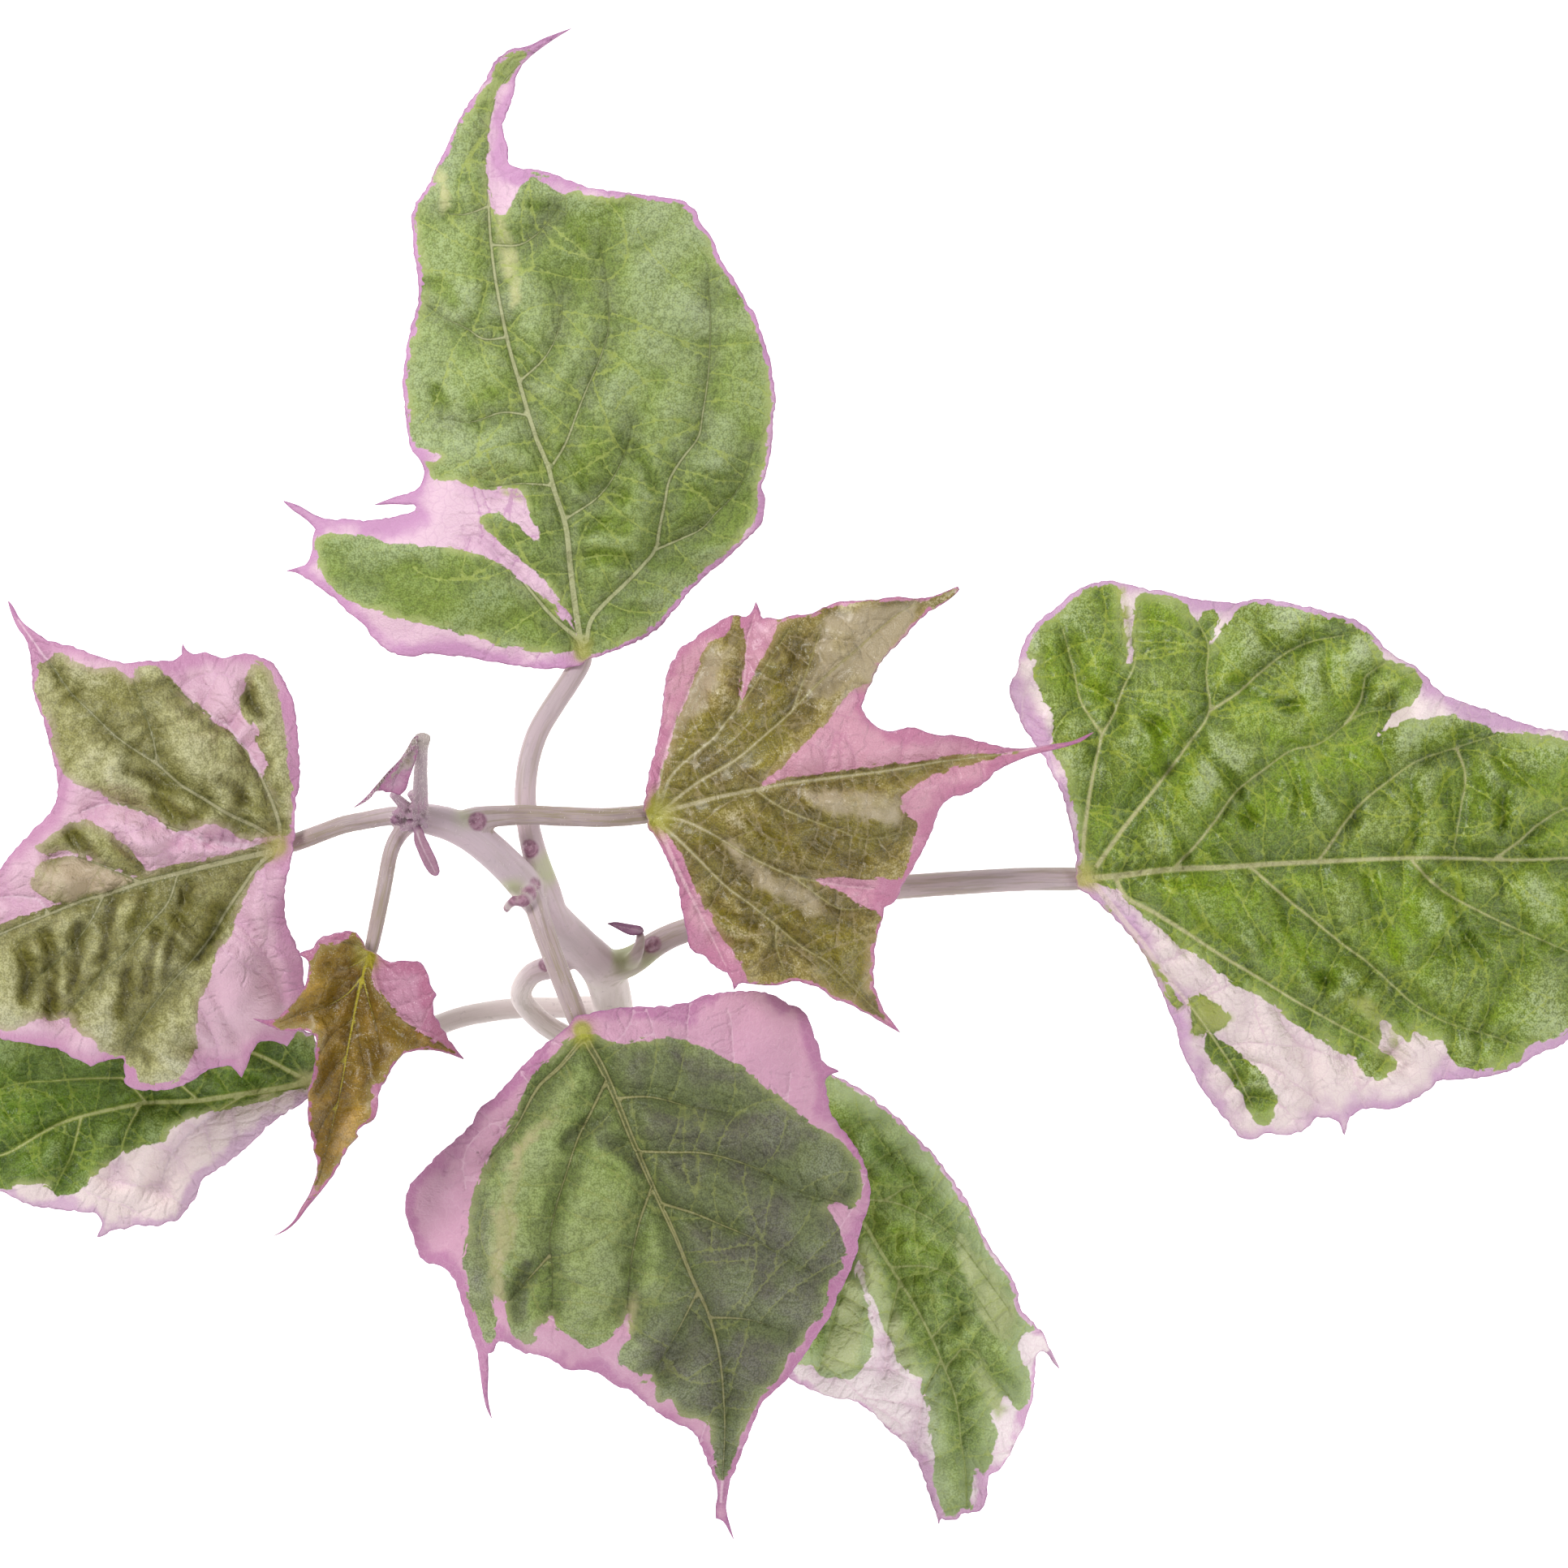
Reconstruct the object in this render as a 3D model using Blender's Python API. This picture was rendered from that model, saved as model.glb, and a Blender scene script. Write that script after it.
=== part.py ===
"""A cut sprig of tricolour sweet potato vine, lying on a flat surface.

Plan points are read in tenths of a millimetre, x to the right from the sheet's left edge and y
down from its top edge. Heights are millimetres above the surface that the sprig lies on.
"""
import math

import bmesh
import bpy
import numpy as np
from mathutils import Vector, geometry

# Driving dimensions
PLAN_UNIT = 0.0001
PLAN_CENTRE = (970.0, 965.5)
MM = 0.001
BLADE_THICKNESS = 0.8 * MM
SEAT_GAP = 0.0003
GRID_STEP = 52.0
RIM_CLEARANCE = 24.0
MIDRIB_DEPTH = 0.9
SIDE_VEIN_DEPTH = 0.5
VEIN_HALF_WIDTH = 22.0
SHEET_EASE = 0.0004
ROUTE_STEP = 32.0
STALK_SIDES = 2
STEM_SIDES = 4

# Leaf blades: outline, midrib, side veins and the heights of the underside
TOP_BLADE = {
    "outline": [
        (722, 815), (765, 800), (803, 782), (848, 732), (898, 687), (939, 645), (943, 610), (938, 600),
        (951, 551), (957, 493), (950, 444), (931, 386), (904, 340), (881, 298), (859, 259), (844, 245),
        (800, 237), (724, 227), (674, 209), (635, 203), (626, 197), (620, 162), (618, 149), (631, 112),
        (638, 79), (653, 62), (674, 46), (704, 27), (666, 41), (628, 53), (604, 71), (589, 102),
        (562, 143), (537, 197), (510, 245), (506, 286), (512, 336), (512, 375), (500, 423), (494, 473),
        (500, 526), (514, 564), (521, 578), (519, 593), (510, 603), (487, 611), (458, 622), (512, 625),
        (500, 632), (450, 640), (400, 638), (367, 622), (345, 615), (376, 640), (386, 651), (381, 682),
        (376, 695), (349, 703), (380, 716), (415, 742), (448, 770), (483, 805), (508, 810), (550, 809),
        (600, 815), (674, 825), (715, 820)],
    "midrib": [(719, 800), (703, 700), (682, 601), (639, 468), (610, 344), (601, 207), (616, 100), (650, 66)],
    "veins": [
        [(686, 575), (724, 477), (750, 402), (738, 294)],
        [(724, 783), (770, 720), (813, 655), (865, 514), (873, 344)],
        [(711, 770), (662, 722), (595, 666), (520, 650)],
        [(640, 468), (575, 404), (525, 375)]],
    "heights": [
        (720, 812, 34.6), (690, 640, 35), (640, 450, 31), (605, 250, 18), (604, 130, 5.5), (625, 85, 1.2),
        (650, 60, -0.6), (704, 27, -0.8), (950, 510, 22), (890, 321, 16), (800, 240, 13), (840, 740, 30),
        (505, 286, 13), (497, 480, 21), (520, 590, 25), (350, 615, 17), (352, 703, 18), (430, 757, 24),
        (560, 806, 29), (820, 560, 31.5), (760, 380, 26), (575, 500, 28.5), (560, 720, 31)]}

LEFT_BLADE = {
    "outline": [
        (366, 1034), (368, 985), (371, 932), (366, 875), (349, 834), (323, 809), (290, 806), (258, 803),
        (231, 801), (226, 792), (217, 814), (160, 817), (115, 806), (58, 787), (25, 763), (8, 738),
        (21, 773), (36, 802), (40, 846), (55, 891), (66, 936), (71, 977), (45, 1018), (0, 1069),
        (-50, 1108), (-100, 1150), (-150, 1195), (-95, 1208), (-40, 1260), (0, 1281), (70, 1293),
        (113, 1315), (151, 1303), (153, 1320), (151, 1332), (160, 1341), (200, 1344), (245, 1328),
        (278, 1314), (290, 1318), (298, 1329), (309, 1304), (319, 1287), (343, 1285), (355, 1291),
        (368, 1269), (378, 1235), (374, 1181), (355, 1132), (355, 1087), (363, 1051)],
    "midrib": [(352, 1041), (282, 1061), (176, 1087), (62, 1126), (-40, 1163), (-110, 1184)],
    "veins": [
        [(340, 1030), (258, 987), (168, 924), (90, 855), (30, 775)],
        [(342, 1015), (315, 940), (282, 895), (215, 845)],
        [(332, 1040), (225, 1024), (160, 993), (102, 1000)],
        [(221, 1085), (184, 1140), (123, 1202), (82, 1251)],
        [(342, 1056), (282, 1120), (209, 1214), (155, 1295)]],
    "heights": [
        (362, 1040, 43.7), (209, 1079, 42), (62, 1126, 36), (-70, 1165, 28), (-150, 1195, 21),
        (225, 967, 44), (115, 879, 39), (8, 738, 27), (226, 792, 36), (330, 812, 37), (371, 930, 40),
        (40, 846, 33), (71, 977, 35.5), (0, 1069, 31), (221, 1200, 40), (123, 1310, 30), (200, 1342, 30),
        (298, 1327, 32), (355, 1289, 33), (378, 1200, 37), (356, 1110, 41), (0, 1281, 26)]}

MID_BLADE = {
    "outline": [
        (792, 998), (800, 949), (812, 902), (818, 850), (835, 803), (865, 779), (894, 761), (920, 760),
        (931, 741), (940, 760), (977, 758), (1037, 741), (1104, 735), (1151, 734), (1181, 722),
        (1155, 749), (1126, 773), (1084, 819), (1066, 858), (1062, 874), (1084, 898), (1120, 895),
        (1147, 904), (1199, 911), (1250, 922), (1294, 917), (1349, 901), (1314, 920), (1250, 939),
        (1215, 963), (1185, 981), (1161, 993), (1147, 1028), (1118, 1082), (1106, 1107), (1090, 1117),
        (1079, 1163), (1077, 1206), (1090, 1246), (1110, 1273), (1076, 1254), (1029, 1232), (993, 1212),
        (954, 1215), (918, 1211), (912, 1212), (904, 1220), (896, 1200), (865, 1176), (848, 1161),
        (836, 1095), (817, 1050), (799, 1022)],
    "midrib": [(810, 1003), (890, 981), (1037, 957), (1203, 933), (1300, 916)],
    "veins": [
        [(822, 988), (906, 937), (993, 858), (1084, 775), (1140, 744)],
        [(832, 957), (898, 886), (950, 811), (970, 775)],
        [(816, 955), (847, 858), (860, 805)],
        [(845, 1012), (950, 1068), (1076, 1095)],
        [(828, 1027), (894, 1091), (989, 1167), (1068, 1234)]],
    "heights": [
        (800, 1003, 45.9), (930, 973, 47.5), (1096, 949, 44), (1250, 927, 39), (1349, 901, 35.5),
        (938, 910, 46.5), (1053, 803, 42.5), (1181, 722, 38), (840, 795, 41), (931, 741, 40),
        (812, 902, 43), (950, 1068, 45), (1076, 1095, 40.5), (1021, 1186, 40.5), (1110, 1273, 33),
        (904, 1218, 39.5), (842, 1125, 42), (1161, 993, 40), (1064, 876, 42.5)]}

RIGHT_BLADE = {
    "outline": [
        (1324, 1082), (1321, 1030), (1305, 973), (1281, 926), (1248, 869), (1244, 850), (1253, 827),
        (1257, 803), (1281, 763), (1321, 730), (1366, 714), (1409, 723), (1470, 736), (1527, 741),
        (1555, 736), (1621, 747), (1673, 762), (1708, 794), (1763, 834), (1798, 861), (1862, 883),
        (1932, 899), (1985, 905), (2045, 925), (2095, 960), (2135, 1003), (2190, 1040), (2128, 1072),
        (2070, 1130), (2020, 1190), (1975, 1245), (1932, 1289), (1871, 1320), (1805, 1333), (1777, 1334),
        (1739, 1362), (1687, 1369), (1668, 1379), (1660, 1403), (1642, 1381), (1626, 1379), (1612, 1395),
        (1564, 1400), (1546, 1408), (1517, 1388), (1477, 1336), (1454, 1289), (1437, 1237),
        (1409, 1176), (1362, 1122), (1330, 1094)],
    "midrib": [(1345, 1083), (1446, 1071), (1579, 1064), (1763, 1057), (1932, 1058), (2120, 1045)],
    "veins": [
        [(1335, 1060), (1342, 983), (1358, 905), (1331, 862), (1310, 775)],
        [(1356, 1062), (1423, 972), (1491, 876), (1487, 832), (1477, 765)],
        [(1448, 1060), (1498, 1011), (1593, 924), (1682, 879), (1725, 873)],
        [(1630, 1054), (1682, 987), (1744, 940), (1848, 905)],
        [(1376, 1098), (1503, 1176), (1621, 1247), (1739, 1317)],
        [(1360, 1108), (1428, 1190), (1498, 1282), (1546, 1365)],
        [(1552, 1078), (1692, 1190), (1786, 1261), (1884, 1292)],
        [(1750, 1068), (1848, 1134), (1932, 1171)]],
    "heights": [
        (1330, 1085, 27), (1380, 900, 28.5), (1250, 830, 23), (1366, 716, 19), (1583, 742, 15),
        (1500, 950, 28), (1579, 1064, 24), (1763, 1057, 17.5), (1932, 1058, 8.5), (2190, 1040, -1.2),
        (1777, 850, 12), (1932, 901, 6.5), (2045, 927, 1.5), (2130, 1003, -0.8), (1932, 1287, 4.5),
        (1763, 1346, 7.5), (1564, 1399, 8), (1660, 1401, 6.5), (1477, 1336, 14), (1409, 1178, 22.5),
        (1690, 1190, 15.5), (2018, 1190, 0.2), (2090, 1080, -1.4), (2060, 1000, 0.6)]}

BOTTOM_BLADE = {
    "outline": [
        (713, 1250), (750, 1242), (816, 1238), (867, 1226), (923, 1220), (970, 1235), (998, 1256),
        (1012, 1303), (1024, 1314), (1036, 1320), (1016, 1331), (1024, 1368), (1050, 1405), (1071, 1452),
        (1066, 1499), (1057, 1541), (1033, 1597), (998, 1660), (956, 1713), (933, 1744), (907, 1812),
        (896, 1850), (905, 1904), (891, 1879), (881, 1872), (884, 1840), (865, 1788), (853, 1765),
        (816, 1746), (779, 1716), (737, 1692), (699, 1688), (662, 1669), (629, 1657), (613, 1655),
        (603, 1670), (602, 1700), (606, 1751), (594, 1713), (580, 1643), (566, 1597), (541, 1559),
        (524, 1556), (508, 1522), (498, 1480), (522, 1440), (569, 1396), (606, 1354), (648, 1307),
        (685, 1275), (706, 1254)],
    "midrib": [(722, 1278), (760, 1354), (816, 1485), (872, 1615), (893, 1740), (889, 1840)],
    "veins": [
        [(742, 1358), (699, 1443), (678, 1527), (681, 1620)],
        [(805, 1475), (781, 1536), (773, 1620)],
        [(795, 1418), (867, 1419), (951, 1447), (1040, 1484)],
        [(826, 1484), (891, 1508), (998, 1564)],
        [(710, 1292), (655, 1345), (600, 1430)]],
    "heights": [
        (715, 1262, 43.8), (800, 1440, 46.5), (870, 1610, 39), (892, 1760, 26), (905, 1904, 11),
        (680, 1500, 44), (502, 1490, 30), (590, 1368, 37), (652, 1305, 40.5), (600, 1655, 31),
        (606, 1751, 23), (700, 1686, 33), (797, 1730, 28.5), (867, 1228, 34.5), (985, 1244, 31),
        (1034, 1320, 31.5), (1069, 1460, 35), (1033, 1597, 31), (956, 1711, 27.5), (940, 1420, 44),
        (930, 1570, 40), (640, 1600, 39)]}

LOW_RIGHT_BLADE = {
    "outline": [
        (938, 1342), (960, 1315), (990, 1310), (1019, 1322), (1071, 1349), (1129, 1401), (1174, 1453),
        (1216, 1529), (1249, 1577), (1260, 1615), (1281, 1638), (1297, 1667), (1309, 1693), (1286, 1669),
        (1279, 1677), (1276, 1721), (1260, 1771), (1235, 1816), (1222, 1823), (1218, 1856), (1199, 1871),
        (1183, 1879), (1158, 1887), (1143, 1841), (1112, 1781), (1062, 1737), (1012, 1723), (969, 1700),
        (948, 1660), (932, 1600), (920, 1530), (912, 1450), (918, 1385)],
    "midrib": [(945, 1356), (1064, 1507), (1129, 1613), (1177, 1721), (1192, 1840)],
    "veins": [
        [(1071, 1480), (1133, 1496), (1183, 1534), (1240, 1612)],
        [(1104, 1565), (1150, 1560), (1200, 1590)],
        [(1060, 1515), (1040, 1580), (1015, 1670)]],
    "heights": [
        (935, 1350, 16.4), (1064, 1507, 20.5), (1129, 1613, 18), (1170, 1700, 13), (1188, 1790, 6),
        (1185, 1865, 0.2), (1095, 1372, 11), (1204, 1506, 9.5), (1257, 1600, 7), (1306, 1690, 4),
        (1272, 1746, 4.5), (1222, 1823, 1.5), (922, 1530, 12.5), (952, 1665, 7.5), (1029, 1729, 4.5),
        (1112, 1783, 1.4), (1145, 1845, -0.4), (1158, 1887, -0.8)]}

LOW_LEFT_BLADE = {
    "outline": [
        (388, 1345), (359, 1369), (317, 1401), (275, 1438), (242, 1460), (232, 1487), (214, 1510),
        (176, 1515), (134, 1520), (113, 1530), (119, 1508), (103, 1498), (36, 1491), (0, 1475),
        (-60, 1455), (-120, 1447), (-180, 1446), (-250, 1440), (-185, 1400), (-130, 1345), (-70, 1280),
        (0, 1235), (90, 1212), (200, 1218), (300, 1240), (360, 1265), (385, 1275), (393, 1310)],
    "midrib": [(372, 1335), (289, 1351), (176, 1361), (64, 1389), (-40, 1432), (-170, 1440)],
    "veins": [
        [(340, 1330), (240, 1295), (120, 1270)],
        [(180, 1350), (90, 1331), (0, 1340), (-60, 1365)],
        [(110, 1388), (84, 1422), (59, 1473)]],
    "heights": [
        (386, 1334, 13.2), (232, 1359, 11.5), (92, 1379, 7.5), (0, 1425, 3.5), (-100, 1442, 0.3),
        (-250, 1440, -0.8), (317, 1401, 8), (242, 1462, 3.5), (200, 1510, 2), (123, 1524, 1.5),
        (36, 1489, 1.0), (0, 1473, 0.6), (-120, 1446, -0.8), (90, 1216, 9.5), (200, 1222, 11),
        (0, 1238, 6.5), (-130, 1347, -0.6), (-70, 1284, 2.8), (300, 1243, 12.5), (-80, 1390, -0.7)]}

YOUNG_BLADE = {
    "outline": [
        (455, 1168), (446, 1152), (429, 1145), (399, 1153), (387, 1167), (369, 1175), (381, 1183),
        (380, 1208), (356, 1242), (335, 1255), (312, 1253), (343, 1268), (386, 1271), (392, 1289),
        (382, 1342), (385, 1399), (392, 1437), (382, 1471), (363, 1503), (334, 1524), (368, 1503),
        (407, 1455), (434, 1409), (445, 1399), (450, 1385), (467, 1372), (471, 1342), (498, 1299),
        (541, 1294), (575, 1305), (554, 1275), (538, 1246), (544, 1223), (532, 1206), (520, 1184),
        (496, 1182), (469, 1174)],
    "midrib": [(456, 1184), (437, 1259), (419, 1356), (398, 1440), (378, 1478)],
    "veins": [
        [(452, 1202), (412, 1235), (350, 1257)],
        [(463, 1198), (498, 1254), (555, 1292)]],
    "heights": [
        (458, 1174, 51.4), (437, 1259, 50.5), (411, 1388, 46.5), (370, 1485, 40), (334, 1524, 36),
        (385, 1195, 51), (369, 1175, 50), (430, 1147, 51), (312, 1253, 45.8), (388, 1300, 50.5),
        (540, 1222, 51), (575, 1305, 45), (500, 1300, 50), (445, 1393, 48.5)]}

FOLDED_BLADE = {
    "outline": [
        (519, 907), (508, 920), (489, 940), (466, 972), (437, 996), (464, 982), (480, 974), (495, 972),
        (503, 960), (517, 925)],
    "midrib": [(510, 922), (486, 950), (462, 978)],
    "veins": [],
    "heights": [
        (515, 907, 60.9), (489, 940, 59), (466, 972, 56.8), (437, 996, 54.2), (503, 960, 58), (484, 973, 57)]}

AXIL_BLADE = {
    "outline": [(747, 1138), (766, 1137), (777, 1139), (790, 1141), (794, 1150), (780, 1153), (770, 1148)],
    "midrib": [],
    "veins": [],
    "heights": [(747, 1138, 26.4), (770, 1143, 27.5), (794, 1150, 27.75), (777, 1139, 27.2)]}

BLADES = {
    "blade_top": TOP_BLADE, "blade_left": LEFT_BLADE, "blade_mid": MID_BLADE, "blade_right": RIGHT_BLADE,
    "blade_bottom": BOTTOM_BLADE, "blade_low_right": LOW_RIGHT_BLADE, "blade_low_left": LOW_LEFT_BLADE,
    "blade_young": YOUNG_BLADE, "blade_folded": FOLDED_BLADE, "blade_axil": AXIL_BLADE}

# Stem and leaf stalks: plan x, plan y, height of the centre in mm, radius in mm
STEM_ROUTE = [
    (508, 1006, 45.6, 1.7), (530, 1009, 45.6, 1.9), (560, 1017, 45.4, 2.1), (590, 1034, 44.4, 2.2),
    (625, 1065, 42, 2.2), (655, 1098, 38.5, 2.3), (685, 1134, 33.5, 2.3), (715, 1166, 28, 2.4),
    (742, 1196, 22, 2.6), (753, 1232, 14.5, 2.6), (757, 1270, 8, 2.6), (762, 1325, 4, 2.6),
    (770, 1400, 2.7, 2.6), (780, 1480, 2.6, 2.6), (790, 1560, 2.6, 2.6)]

# Each stalk starts on the stem's centre line and ends under its blade, where no height is given
STALKS = {
    "stalk_top": ("blade_top", [
        (664, 1082, 37.5, 1.7), (657, 1040, 38.6, 1.6), (648, 1000, 38.8, 1.5), (649, 950, 38, 1.5),
        (662, 905, 36.4, 1.5), (682, 870, 34.8, 1.5), (703, 838, 33.4, 1.5)], (718, 806, 1.4)),
    "stalk_bottom": ("blade_bottom", [
        (652, 1094, 38.8, 1.7), (660, 1112, 40.3, 1.6), (672, 1150, 41.6, 1.5), (691, 1200, 42, 1.5)],
        (715, 1262, 1.4)),
    "stalk_mid": ("blade_mid", [
        (572, 1020, 45, 1.7), (600, 1006, 45, 1.45), (650, 1004, 44.8, 1.3), (700, 1007, 44.6, 1.3),
        (750, 1008, 44.4, 1.3)], (804, 1003, 1.3)),
    "stalk_left": ("blade_left", [
        (512, 1006, 45.6, 1.3), (485, 1005, 45.2, 1.25), (450, 1011, 44, 1.2), (425, 1016, 43.2, 1.2),
        (400, 1025, 42.4, 1.2)], (357, 1040, 1.2)),
    "stalk_young": ("blade_young", [
        (512, 1010, 45.4, 1.2), (497, 1024, 45.6, 1.1), (484, 1048, 47, 1.0), (474, 1100, 48.8, 1.0),
        (464, 1145, 49.8, 1.0)], (457, 1176, 1.0)),
    "stalk_low_right": ("blade_low_right", [
        (712, 1172, 26.5, 1.5), (683, 1190, 26, 1.5), (655, 1200, 24.5, 1.45), (641, 1226, 21.5, 1.45),
        (658, 1252, 18.5, 1.45), (690, 1275, 16.6, 1.45), (745, 1296, 15.2, 1.45), (830, 1320, 14.8, 1.45)],
        (942, 1352, 1.45)),
    "stalk_low_left": ("blade_low_left", [
        (752, 1244, 12.2, 1.5), (725, 1242, 11.2, 1.45), (690, 1243, 10.4, 1.45), (645, 1243, 10, 1.45),
        (600, 1248, 10, 1.45), (550, 1260, 10.2, 1.45), (460, 1300, 11, 1.45)], (378, 1336, 1.45)),
    "stalk_right": ("blade_right", [
        (740, 1192, 22.6, 1.9), (775, 1187, 22.8, 1.8), (800, 1168, 23.2, 1.7), (850, 1145, 24, 1.65),
        (950, 1118, 25, 1.65), (1050, 1100, 25.4, 1.65), (1125, 1092, 25.5, 1.65), (1250, 1084, 25.4, 1.65)],
        (1334, 1083, 1.6))}

# A stalk that leaves the stem beside another is cut clear of it
CLEARED_BY = {"stalk_young": "stalk_left"}

# Buds and the shoot's tip: plan x, plan y, height, and half sizes along the bud and across it, in mm
AXIL_BUDS = {
    "main_stem": [(590, 1013, 46.2, 1.1, 0.85), (655, 1092, 40.2, 0.9, 0.8)],
    "stalk_top": [(653, 1047, 39.9, 1.0, 0.85)],
    "stalk_low_right": [(673, 1186, 26.9, 1.1, 0.7)],
    "stalk_right": [(802, 1163, 25.0, 0.9, 0.75)]}
CURLED_BUD = [(654, 1088, 41.4, 0.5), (652, 1104, 42.6, 0.55), (642, 1114, 43.2, 0.6), (632, 1109, 42.8, 0.5),
              (622, 1122, 41.8, 0.45)]
TIP_STALK = [(518, 1004, 47.2, 0.9), (526, 980, 50.5, 0.75), (528, 950, 54.5, 0.6), (525, 918, 58.3, 0.6),
             (524, 906, 59.2, 0.9)]
TIP_SHOOTS = [
    [(511, 1008, 47.8, 1.3), (513, 1024, 48.6, 1.0), (522, 1050, 49.0, 0.9), (538, 1076, 48.4, 0.9)],
    [(508, 1004, 47.8, 1.2), (500, 992, 49.6, 0.8), (486, 978, 51.2, 0.6)],
    [(505, 1010, 47.4, 1.2), (494, 1010, 48.4, 0.8), (486, 1009, 48.8, 0.7)],
    [(512, 1000, 48.0, 1.2), (518, 990, 49.6, 0.9), (508, 976, 50.8, 0.7)]]
SIDE_SHOOTS = {
    "stalk_right": [(776, 1184, 24.4, 0.55), (788, 1174, 26, 0.5), (793, 1162, 26.7, 0.5), (788, 1152, 26.9, 0.5)]}

COLOURS = {
    "variegated_leaf": ((0.19, 0.27, 0.06), 0.5),
    "young_leaf": ((0.24, 0.17, 0.04), 0.4),
    "stem_skin": ((0.55, 0.47, 0.50), 0.55),
    "bud_skin": ((0.48, 0.28, 0.38), 0.55)}


def clear_scene():
    for item in list(bpy.data.objects):
        bpy.data.objects.remove(item, do_unlink=True)


def collection(name):
    group = bpy.data.collections.new(name)
    bpy.context.scene.collection.children.link(group)
    return group


def material(name):
    """One plain coloured skin, made once and shared by all that wear it."""
    skin = bpy.data.materials.get(name) or bpy.data.materials.new(name)
    skin.use_nodes = True
    colour, roughness = COLOURS[name]
    shader = skin.node_tree.nodes["Principled BSDF"]
    shader.inputs["Base Color"].default_value = (*colour, 1.0)
    shader.inputs["Roughness"].default_value = roughness
    shader.inputs["Metallic"].default_value = 0.0
    return skin


def place(x, y, height=0.0):
    """A plan point and its height in mm, as a point of the model in metres."""
    return Vector(((x - PLAN_CENTRE[0]) * PLAN_UNIT, (PLAN_CENTRE[1] - y) * PLAN_UNIT, height * MM))


def add_object(name, mesh, group, skin):
    piece = bpy.data.objects.new(name, mesh)
    group.objects.link(piece)
    mesh.materials.clear()
    mesh.materials.append(material(skin))
    return piece


def sheet(heights):
    """The smooth bent sheet through a blade's control heights, as a function of plan x and y."""
    spots = np.array([(x, y) for x, y, z in heights]) / 1000.0
    lifts = np.array([z for x, y, z in heights])
    count = len(spots)

    def bend(apart):
        return np.where(apart > 0, apart ** 2 * np.log(np.maximum(apart, 1e-9)), 0.0)

    apart = np.linalg.norm(spots[:, None] - spots[None], axis=2)
    flat = np.hstack([np.ones((count, 1)), spots])
    system = np.block([[bend(apart) + SHEET_EASE * np.eye(count), flat], [flat.T, np.zeros((3, 3))]])
    pulls = np.linalg.solve(system, np.concatenate([lifts, np.zeros(3)]))

    def height(x, y):
        spot = np.array([x, y]) / 1000.0
        near = bend(np.linalg.norm(spots - spot, axis=1))
        return float(near @ pulls[:count] + pulls[count] + pulls[count + 1:] @ spot)

    return height


def distance_to_line(x, y, line):
    """Distance in plan units from a point to a run of straight pieces."""
    best = 1e9
    spot = Vector((x, y))
    for start, end in zip(line, line[1:]):
        nearest, share = geometry.intersect_point_line(spot, Vector(start), Vector(end))
        nearest = Vector(start).lerp(Vector(end), min(max(share, 0.0), 1.0))
        best = min(best, (spot - nearest.to_2d()).length)
    return best


def underside(blade):
    """Height in mm of a blade's underside: the bent sheet, creased along its veins, over the surface."""
    smooth = sheet(blade["heights"])
    ribs = [(blade["midrib"], MIDRIB_DEPTH)] + [(vein, SIDE_VEIN_DEPTH) for vein in blade["veins"]]

    def height(x, y):
        level = smooth(x, y)
        for line, depth in ribs:
            if len(line) > 1:
                level -= depth * math.exp(-(distance_to_line(x, y, line) / VEIN_HALF_WIDTH) ** 2)
        return max(level, 0.0)

    return height


def blade_points(blade):
    """Rim, vein and inner points of a blade in plan units, with the edges that the fill must keep."""
    points = [Vector(spot) for spot in blade["outline"]]
    rim = len(points)
    edges = [(i, (i + 1) % rim) for i in range(rim)]
    lines = [line for line in [blade["midrib"]] + blade["veins"] if line]
    for line in lines:
        edges += [(len(points) + i, len(points) + i + 1) for i in range(len(line) - 1)]
        points += [Vector(spot) for spot in line]
    closed = blade["outline"] + blade["outline"][:1]
    lowest = [min(spot[axis] for spot in blade["outline"]) for axis in (0, 1)]
    highest = [max(spot[axis] for spot in blade["outline"]) for axis in (0, 1)]
    row_step = GRID_STEP * math.sqrt(0.75)
    for row in range(int((highest[1] - lowest[1]) / row_step) + 1):
        y = lowest[1] + row * row_step
        shift = GRID_STEP / 2 * (row % 2)
        for column in range(int((highest[0] - lowest[0]) / GRID_STEP) + 1):
            x = lowest[0] + shift + column * GRID_STEP
            if all(distance_to_line(x, y, line) > RIM_CLEARANCE for line in [closed] + lines):
                points.append(Vector((x, y)))
    return points, edges, list(range(rim))


def blade_mesh(name, blade):
    """A thin closed blade: its filled outline as the underside, extruded upwards by its thickness."""
    points, edges, rim = blade_points(blade)
    corners, _, faces, *_ = geometry.delaunay_2d_cdt(points, edges, [rim], 1, 1e-3)
    level = underside(blade)
    bm = bmesh.new()
    verts = [bm.verts.new(place(x, y, level(x, y))) for x, y in corners]
    for face in faces:
        bm.faces.new([verts[i] for i in face])
    bmesh.ops.delete(bm, geom=[v for v in bm.verts if not v.link_faces], context="VERTS")
    upper = bmesh.ops.extrude_face_region(bm, geom=bm.faces[:], use_keep_orig=True)
    raised = [item for item in upper["geom"] if isinstance(item, bmesh.types.BMVert)]
    bmesh.ops.translate(bm, verts=raised, vec=(0, 0, BLADE_THICKNESS))
    bmesh.ops.recalc_face_normals(bm, faces=bm.faces)
    mesh = bpy.data.meshes.new(name)
    bm.to_mesh(mesh)
    bm.free()
    return mesh


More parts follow.
